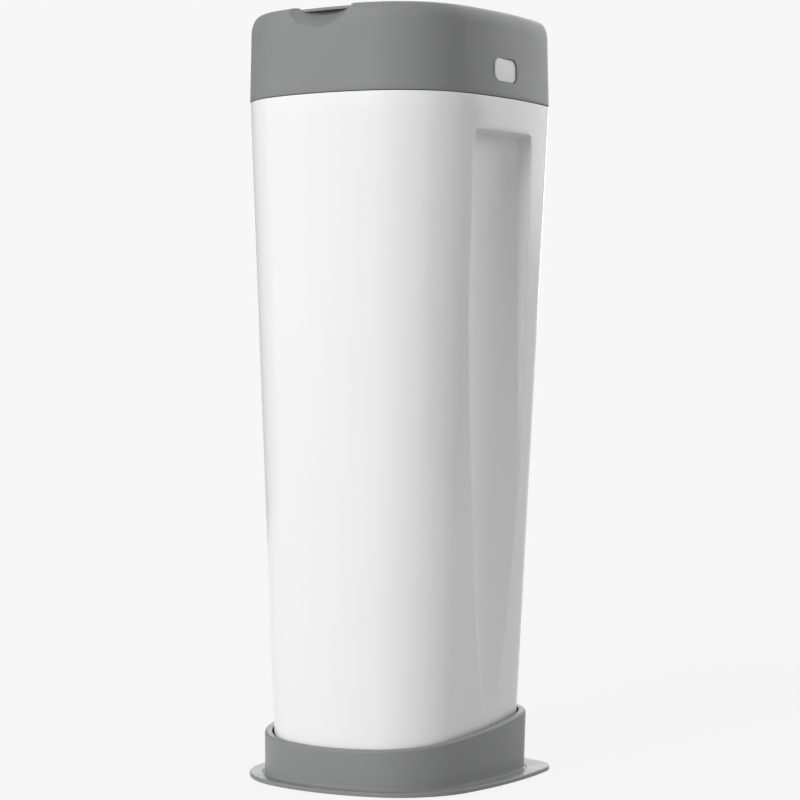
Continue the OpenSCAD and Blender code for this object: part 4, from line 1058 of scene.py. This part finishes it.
@dataclass(frozen=True)
class Button:
    """A side button: a crowned cap in a close gap, and the latch that it pushes."""

    width: float = 33.9
    height: float = 20.0
    corner: float = 6.8
    thick: float = 3.4
    gap: float = 0.35
    centre_y: float = 2.0
    centre_z: float = 618.3
    face_x: float = 116.623
    pocket_x: float = 98.213
    pocket_d: float = 18.41
    pocket_wall: float = 1.6
    way_d: float = 30.0
    slot_room: float = 1.0
    slot_drop: float = 5.0
    slot_h: float = 8.0
    slot_back: float = 4.0
    tongue_x: float = 103.313
    tongue_t: float = 3.0
    tongue_half: float = 5.0
    nose_w: float = 2.4
    nose_top_z: float = 590.0
    arm_drop: float = 9.0
    pad_h: float = 5.0
    nose_h: float = 3.0
    edge: float = 0.7
    crown: float = 0.5
    dome_steps: int = 9

    def outline(self, grow: float, corner_steps: int = 14) -> np.ndarray:
        """The rounded outline, as rows of y and z round the middle."""
        r = self.corner + grow
        half_w, half_h = self.width / 2.0 + grow - r, self.height / 2.0 + grow - r
        return np.concatenate([
            circle(r, math.pi / 2.0 * k + quarter(corner_steps), sy * half_w, sz * half_h)
            for k, (sy, sz) in enumerate(((1, 1), (-1, 1), (-1, -1), (1, -1)))])

    def slab(self, name: str, side: Side, grow: float, x0: float, x1: float) -> bpy.types.Object:
        """A straight block of the button's outline between two places across the bin."""
        outline = self.outline(grow) + [self.centre_y, self.centre_z]
        rings = [np.insert(outline, 0, x, axis=1) for x in (x0, x1)]
        return handed(Workshop.skin(name, rings), side)

    def pocket(self, side: Side) -> bpy.types.Object:
        """The pocket's outside in the head."""
        start = self.pocket_x - self.pocket_wall
        return self.slab("pocket", side, self.gap + self.pocket_wall, start,
                         start + self.pocket_d + self.pocket_wall - HEAD.wall / 2.0)

    def way(self, side: Side) -> bpy.types.Object:
        """The way that a button slides in."""
        return self.slab("way", side, self.gap, self.pocket_x, self.pocket_x + self.way_d)

    def tongue_slot(self, side: Side) -> bpy.types.Object:
        """The slot under a pocket that the latch tongue goes through."""
        half = self.tongue_half + self.slot_room
        low = self.centre_z - self.height / 2.0 - self.slot_drop
        piece = Workshop.block(
            "slot", (self.pocket_x, self.centre_y - half, low),
            (self.pocket_x + self.pocket_d - HEAD.wall - self.slot_back,
             self.centre_y + half, low + self.slot_h))
        return handed(piece, side)

    def cap_rings(self) -> list[Ring]:
        """Rings from the cap's back edge over its rounded edge to a slightly domed face."""
        rows = [(-self.thick, 0.0), (-self.thick + 0.4, 0.0), (-2.0, 0.0)]
        rows += [(-fall - self.crown, -step) for fall, step in bend(self.edge, 6)]
        tilt = math.atan(HEAD.slope)
        rings = [self._cap_ring(x, self.outline(grow), tilt) for x, grow in rows]
        edge_line = self.outline(-self.edge)
        return rings + [self._cap_ring(-self.crown * share ** 2, edge_line * share, tilt)
                        for share in np.linspace(0.9, 0.1, self.dome_steps)]

    def _cap_ring(self, x: float, outline: np.ndarray, tilt: float) -> Ring:
        """Places an outline on the leaning face."""
        return np.column_stack([
            self.face_x + x * math.cos(tilt) - outline[:, 1] * math.sin(tilt),
            outline[:, 0] + self.centre_y,
            self.centre_z + x * math.sin(tilt) + outline[:, 1] * math.cos(tilt)])

    def latch(self, side: Side) -> bpy.types.Object:
        """The latch: a pad on the cap's back, an arm under the spring and a sloped nose."""
        y0, y1 = self.centre_y - self.tongue_half, self.centre_y + self.tongue_half
        arm_z = self.centre_z - self.arm_drop
        back_x = self.face_x - self.thick
        arm = Workshop.block("arm", (self.tongue_x, y0, arm_z),
                             (back_x - 0.4, y1, arm_z + self.tongue_t), 0.3)
        pad = Workshop.block("pad", (back_x - self.tongue_t, y0, arm_z),
                             (back_x - 0.05, y1, arm_z + self.pad_h), 0.3)
        tongue = Workshop.block(
            "tongue", (self.tongue_x, y0, self.nose_top_z - self.nose_h),
            (self.tongue_x + self.tongue_t, y1, arm_z + self.tongue_t), 0.3)
        Workshop.combine(arm, Join.ADD, pad, tongue, self._nose(y0, y1))
        arm.name = f"{side.name.lower()}_latch_smooth"
        return handed(arm, side)

    def _nose(self, y0: float, y1: float) -> bpy.types.Object:
        """The wedge that clips under the catch."""
        x = self.tongue_x + self.tongue_t - 0.2
        low, high = self.nose_top_z - self.nose_h, self.nose_top_z
        wedge = [(x, low), (x + self.nose_w, high - 0.9), (x + self.nose_w, high - 0.3),
                 (x + self.nose_w - 0.3, high), (x, high)]
        rings = [np.array([(px, y, pz) for px, pz in wedge]) for y in (y1, y0)]
        return Workshop.skin("nose", rings)

    def build(self, dresser: Dresser) -> None:
        """Builds both buttons and their latches."""
        for side in Side:
            name = side.name.lower()
            cap = Workshop.skin(f"{name}_button_smooth", self.cap_rings())
            dresser.place(handed(cap, side), f"{name}_button_body", f"{name}_button")
            dresser.place(self.latch(side), f"{name}_button_body", f"{name}_latch")


BUTTON = Button()
HEAD = Head()


# ---- Lid ----


@dataclass(frozen=True)
class Lid:
    """The flip lid: a flat grey cover with a skirt and barrel, its panel and its seal."""

    top_z: float = 669.0
    gap: float = 0.7
    thick: float = 2.6
    skirt: float = 8.6
    skirt_wall_t: float = 2.2
    edge: float = 1.6
    rear: float = 74.374
    barrel_r: float = 7.0
    barrel_z: float = 662.0
    panel_in: float = 5.6
    panel_t: float = 2.0
    panel_edge: float = 0.5
    post_x: float = 51.5
    post_y: float = 46.0
    post_r: float = 3.0
    seal_w: float = 4.0
    seal_gap: float = 0.3
    seal_square: float = 0.7

    def ring(self, z: float, out: float) -> Ring:
        """A ring of the lid's outline."""
        inner = out - HEAD.rim_w - HEAD.lean - self.gap
        return plan_ring(z, inner, self.rear + out)

    @property
    def under_z(self) -> float:
        """Height of the cover's underside."""
        return self.top_z - self.thick

    @property
    def skirt_z(self) -> float:
        """Height of the skirt's lower edge."""
        return self.top_z - self.skirt

    def cover(self) -> bpy.types.Object:
        """The cover with its skirt, barrel and web."""
        rings = [self.ring(self.under_z, 0.0)]
        rings += [self.ring(self.top_z - fall, -step) for fall, step in bend(self.edge, 8)]
        plate = Workshop.skin("lid_outer_smooth", rings)
        half = HEAD.barrel_half
        Workshop.combine(
            plate, Join.ADD, self.skirt_wall(),
            Workshop.rod("barrel", (-half, HEAD.barrel_y, self.barrel_z),
                         (half, HEAD.barrel_y, self.barrel_z), self.barrel_r, 0.6, 96),
            Workshop.block("web", (-half, self.rear - 2.0, self.under_z),
                           (half, HEAD.barrel_y, self.top_z)))
        return plate

    def skirt_wall(self) -> bpy.types.Object:
        """The skirt, which turns in behind the finger scoop as its back wall."""
        high = self.under_z + 0.4
        wall = Workshop.skin("skirt", [
            self.ring(self.skirt_z + 0.4, 0.0),
            self.ring(high, 0.0),
            self.ring(high, -self.skirt_wall_t),
            self.ring(self.skirt_z + 0.4, -self.skirt_wall_t),
            self.ring(self.skirt_z, -self.skirt_wall_t + 0.4),
            self.ring(self.skirt_z, -0.4),
        ], wrap=True)
        back = Workshop.skin("scoop_back", [self.ring(HEAD.ledge_z + self.gap, 0.0),
                                            self.ring(high, 0.0)])
        Workshop.combine(back, Join.MEET, HEAD.scoop(self.gap + self.skirt_wall_t))
        Workshop.combine(wall, Join.ADD, back)
        hollow = HEAD.scoop(self.gap)
        above = Workshop.block("above", (-80.0, -220.0, self.under_z), (80.0, -40.0, 780.0))
        Workshop.combine(hollow, Join.CUT, above)
        Workshop.combine(wall, Join.CUT, hollow)
        return wall

    def panel(self) -> bpy.types.Object:
        """The inner panel with its four posts."""
        low, high = self.skirt_z, self.skirt_z + self.panel_t
        edge = bend(self.panel_edge, 4)
        rings = [self.ring(low + fall, -self.panel_in - step) for fall, step in edge[::-1]]
        rings += [self.ring(high - fall, -self.panel_in - step) for fall, step in edge]
        sheet = Workshop.skin("panel", rings)
        Workshop.combine(sheet, Join.CUT, HEAD.scoop(self.gap + self.skirt_wall_t + 0.4))
        posts = [Workshop.rod("post", (x, y, low + 0.5), (x, y, self.under_z), self.post_r)
                 for x in (-self.post_x, self.post_x) for y in (-self.post_y, self.post_y)]
        return Workshop.join("lid_inner_smooth", [sheet, *posts])

    def seal(self) -> bpy.types.Object:
        """The seal, a soft bead under the panel."""
        low, high = HEAD.ledge_z + self.seal_gap, self.skirt_z
        middle, half = (low + high) / 2.0, (high - low) / 2.0
        centre = -self.panel_in - 0.6 - self.seal_w / 2.0

        def squarish(value: float) -> float:
            return math.copysign(abs(value) ** self.seal_square, value)

        rings = [self.ring(middle + squarish(math.sin(t)) * half,
                           centre + squarish(math.cos(t)) * self.seal_w / 2.0)
                 for t in full_turn(20)]
        return Workshop.skin("lid_seal_smooth", rings, wrap=True)

    def build(self, dresser: Dresser) -> None:
        """Builds the lid's three pieces."""
        dresser.place(self.cover(), "lid", "lid_outer")
        dresser.place(self.panel(), "lid", "lid_inner")
        dresser.place(self.seal(), "lid", "lid_seal")


LID = Lid()


# ---- Inside the head and the tub ----


@dataclass(frozen=True)
class Liner:
    """The white funnel from the lid's opening down to the round throat."""

    throat_r: float = 58.0
    wall: float = 2.2
    mouth_z: float = 600.6
    flange: float = 17.0
    mouth_in: float = 1.0
    centre_y: float = 2.0
    steps: int = 24

    @property
    def top(self) -> float:
        """Height of the flange's upper face, under the head's ledge."""
        return HEAD.ledge_z - HEAD.ledge_t

    def rim(self, out: float) -> tuple[float, float]:
        """The mouth's distance out from the outline, and its rear limit."""
        step = out - HEAD.ledge_w - self.mouth_in
        return step - HEAD.rim_w, HEAD.opening_rear + step

    def ring(self, t: float, out: float) -> Ring:
        """A ring of the funnel, from the round throat at 0 to the opening at 1."""
        throat = (self.throat_r + out) * PLAN.normals(ANGLES) + [0.0, self.centre_y]
        share = 1.0 - math.cos(math.pi / 2.0 * t)
        return whole(level(throat * (1 - share) + plan_half(*self.rim(out)) * share,
                           self.mouth_z + (self.top - self.mouth_z) * t))

    def build(self, dresser: Dresser) -> None:
        """Builds the liner and lets it stand for the CAD's."""
        under = self.top - self.wall
        steps = self.steps
        rings = [self.ring(k / steps, self.wall) for k in range(steps)]
        rings += [plan_ring(z, *self.rim(out)) for z, out in (
            (under, self.wall), (under, self.flange - 0.4),
            (under + 0.4, self.flange), (self.top, self.flange))]
        rings += [self.ring(k / steps, 0.0) for k in range(steps, -1, -1)]
        liner = Workshop.skin("head_liner_smooth", rings, wrap=True)
        dresser.place(liner, "head", "head_liner")


@dataclass(frozen=True)
class FilmPack:
    """The film sleeve, packed into the cassette in pleats that have been pushed about."""

    inner_r: float = 60.0
    outer_r: float = 90.0
    base_z: float = 573.4
    top_z: float = 586.8
    centre_y: float = 2.0
    pleats: int = 9
    depth: float = 1.2
    slack: float = 0.3
    pushes: tuple[tuple[int, float], ...] = ((7, 0.16), (19, 0.14), (41, 0.22))
    sides: int = 360
    seed: int = 11

    def build(self, dresser: Dresser) -> None:
        """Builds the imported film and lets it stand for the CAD's."""
        chance = np.random.default_rng(self.seed)
        turn = full_turn(self.sides)
        phases = chance.uniform(0.0, 2.0 * math.pi, (self.pleats * 2 + 1, 3))
        columns = self.pleats * 8

        def ring(radius: np.ndarray | float, height: np.ndarray | float) -> Ring:
            return level(circle(radius, turn, 0.0, self.centre_y), height)

        rings = [ring(self.outer_r, self.base_z)]
        for k in range(columns, -1, -1):
            share = k / columns
            wave = 0.5 - 0.5 * math.cos(2.0 * math.pi * self.pleats * share)
            radius = self.inner_r + (self.outer_r - self.inner_r) * share
            height = self.top_z - self.depth * (1 - wave)
            if 0 < k < columns:
                push = [size * np.sin(waves * turn + phase) for (waves, size), phase
                        in zip(self.pushes, phases[k // 4 % len(phases)])]
                radius = radius + (push[0] + push[1])
                height = height + (push[2] * wave - self.slack)
            rings.append(ring(radius, height))
        rings.append(ring(self.inner_r, self.base_z))
        pack = Workshop.skin("film_pack_pleated", rings, wrap=True)
        dresser.place(pack, "tub", "film_pack")


# ---- Studio ----


def grey(tone: float) -> tuple[float, float, float, float]:
    """An even colour with full opacity."""
    return (tone, tone, tone, 1.0)


@dataclass(frozen=True)
class Softbox:
    """One soft lamp that faces the bin: metres, degrees and watts."""

    name: str
    azimuth: float
    elevation: float
    distance: float
    width: float
    height: float
    power: float
    mirrored: bool = True

    def build(self, target: Vector) -> None:
        """Places the lamp on its arc round the target, azimuth 0 at the front."""
        a, e = math.radians(self.azimuth), math.radians(self.elevation)
        away = Vector((math.sin(a) * math.cos(e), -math.cos(a) * math.cos(e), math.sin(e)))
        lamp = bpy.data.lights.new(self.name, "AREA")
        lamp.shape = "RECTANGLE"
        lamp.size = self.width
        lamp.size_y = self.height
        lamp.energy = self.power
        holder = show(self.name, lamp)
        holder.location = target + away * self.distance
        holder.rotation_euler = (-away).to_track_quat("-Z", "Y").to_euler()
        holder.visible_camera = False
        holder.visible_glossy = self.mirrored


@dataclass(frozen=True)
class Studio:
    """A pale sweep, soft lamps, and a camera where the photograph was taken.

    Metres and degrees, but for the camera: its place is millimetres, its turn to the left
    and its dip are radians, and its lens is millimetres on a film of sensor_w.
    """

    backdrop: float = 0.93
    ambient: float = 0.05
    floor_half: float = 30.0
    floor_tone: float = 0.46
    floor_glow: float = 0.875
    floor_fade: tuple[float, float] = (0.7, 2.2)
    flag_at: float = 2.3
    flag_height: float = 2.6
    flag_glow: float = 0.25
    flags: tuple[tuple[float, float], ...] = ((66.0, 126.0), (-128.0, -74.0))
    camera_at: Spot = (1136.0, -1781.6, 371.0)
    turn: float = 0.564
    dip: float = 0.018
    lens: float = 106.785
    sensor_w: float = 36.0
    target: Spot = (0.0, 0.0, 0.33)
    lamps: tuple[Softbox, ...] = (
        Softbox("left_front", -30.0, 23.0, 10.0, 13.0, 8.0, 522.0, mirrored=False),
        Softbox("front", -3.0, 26.0, 10.0, 4.2, 7.5, 584.0, mirrored=False),
        Softbox("right_side", 98.0, 24.0, 10.0, 6.0, 7.0, 195.0, mirrored=False),
        Softbox("right_rear", 152.0, 26.0, 10.0, 8.0, 9.0, 290.0),
        Softbox("left_rear", -156.0, 25.0, 10.0, 6.4, 9.0, 310.0),
    )

    def build(self) -> None:
        """Builds the floor, the world, the lamps and the camera."""
        self._world()
        self._floor()
        self._flags()
        for lamp in self.lamps:
            lamp.build(Vector(self.target))
        self._camera()
        bpy.context.scene.view_settings.view_transform = "Standard"

    @staticmethod
    def _seen(kit: NodeKit) -> bpy.types.NodeSocket:
        """One where the camera, a reflection or a see-through part looks, else nought."""
        path = kit.add("ShaderNodeLightPath", {}).outputs
        looks = kit.sum("MAXIMUM", path["Is Camera Ray"], path["Is Glossy Ray"])
        return kit.sum("MAXIMUM", looks, path["Is Transmission Ray"])

    def _world(self) -> None:
        """A world that lights softly and looks nearly white."""
        world = bpy.data.worlds.new("studio_world")
        bpy.context.scene.world = world
        world.use_nodes = True
        kit = NodeKit(world.node_tree)
        light = kit.tree.nodes["Background"]
        kit.feed(light, {"Color": grey(1.0), "Strength": self.ambient})
        seen = kit.add("ShaderNodeBackground", {"Color": grey(self.backdrop)})
        mix = kit.blend(self._seen(kit), light, seen)
        kit.feed(kit.tree.nodes["World Output"], {"Surface": mix.outputs[0]})

    def _floor(self) -> None:
        """A pale floor that runs to the horizon and fades into the backdrop."""
        half = self.floor_half
        mesh = bpy.data.meshes.new("floor")
        mesh.from_pydata([(-half, -half, 0), (half, -half, 0), (half, half, 0), (-half, half, 0)],
                         [], [(0, 1, 2, 3)])
        floor = show("floor", mesh)
        shader = Shader("pale_floor")
        mottle = shader.add("ShaderNodeTexNoise", {"Scale": 3.0})
        tone = self.floor_tone
        colour = shader.mix(mottle.outputs["Fac"], (tone - 0.01,) * 3, (tone + 0.01,) * 3)
        material = shader.finish({
            "Base Color": colour, "Roughness": 0.9, "Specular IOR Level": 0.1})
        glow = shader.add("ShaderNodeEmission", {})
        backdrop = shader.add("ShaderNodeEmission", {"Color": grey(self.backdrop)})
        length = shader.add("ShaderNodeVectorMath", {0: shader.place}, operation="LENGTH")
        away = shader.add("ShaderNodeMapRange", {
            "From Min": self.floor_fade[0], "From Max": self.floor_fade[1],
            "Value": length.outputs["Value"]}, interpolation_type="SMOOTHSTEP")
        near = shader.blend(self.floor_glow, shader.surface, glow)
        pale = shader.blend(away.outputs["Result"], near, backdrop)
        mix = shader.blend(self._seen(shader), shader.surface, pale)
        shader.feed(shader.tree.nodes["Material Output"], {"Surface": mix.outputs[0]})
        mesh.materials.append(material)

    def _flags(self) -> None:
        """Dark boards at the sides that keep the flanks' gloss in shade."""
        material = Shader("flag_cloth").finish({
            "Base Color": grey(0.03), "Roughness": 0.9,
            "Emission Color": grey(1.0), "Emission Strength": self.flag_glow})
        for number, (start, end) in enumerate(self.flags):
            turn = np.radians(np.linspace(start, end, 17))
            edge = np.column_stack([np.sin(turn), -np.cos(turn)]) * self.flag_at
            count = len(edge)
            points = np.concatenate([level(edge, 0.01), level(edge, self.flag_height)])
            faces = [(i, i + 1, count + i + 1, count + i) for i in range(count - 1)]
            mesh = bpy.data.meshes.new(f"flag_{number}")
            mesh.from_pydata(points.tolist(), [], faces)
            mesh.materials.append(material)
            flag = show(f"flag_{number}", mesh)
            flag.visible_camera = False
            flag.visible_shadow = False

    def _camera(self) -> None:
        """The camera at the place and turn worked out from the photograph."""
        lens = bpy.data.cameras.new("camera")
        lens.lens = self.lens
        lens.sensor_width = self.sensor_w
        lens.clip_end = 100.0
        camera = show("camera", lens)
        flat = math.cos(self.dip)
        forward = Vector((-math.sin(self.turn) * flat, math.cos(self.turn) * flat,
                          -math.sin(self.dip)))
        camera.location = Vector(self.camera_at) * MM
        camera.rotation_euler = forward.to_track_quat("-Z", "Y").to_euler()
        bpy.context.scene.camera = camera


KEPT_NODES = (
    "foot_pads", "tub_collar", "clamp_screws", "clamp_frame", "left_jaw", "right_jaw",
    "jaw_pins", "jaw_springs", "cassette_tray", "cassette_cover", "cutter_body",
    "cutter_blade", "liner_screws", "head_hinge_pin", "left_button_spring",
    "right_button_spring", "lid_hinge_pins",
)


def main() -> None:
    """Builds the studio and every piece."""
    logging.basicConfig(level=logging.INFO, format="%(name)s: %(message)s")
    Studio().build()
    dresser = Dresser()
    Base().build(dresser)
    TUB.build(dresser)
    HEAD.build(dresser)
    BUTTON.build(dresser)
    LID.build(dresser)
    Liner().build(dresser)
    FilmPack().build(dresser)
    dresser.keep(*KEPT_NODES)


if __name__ == "__main__":
    main()
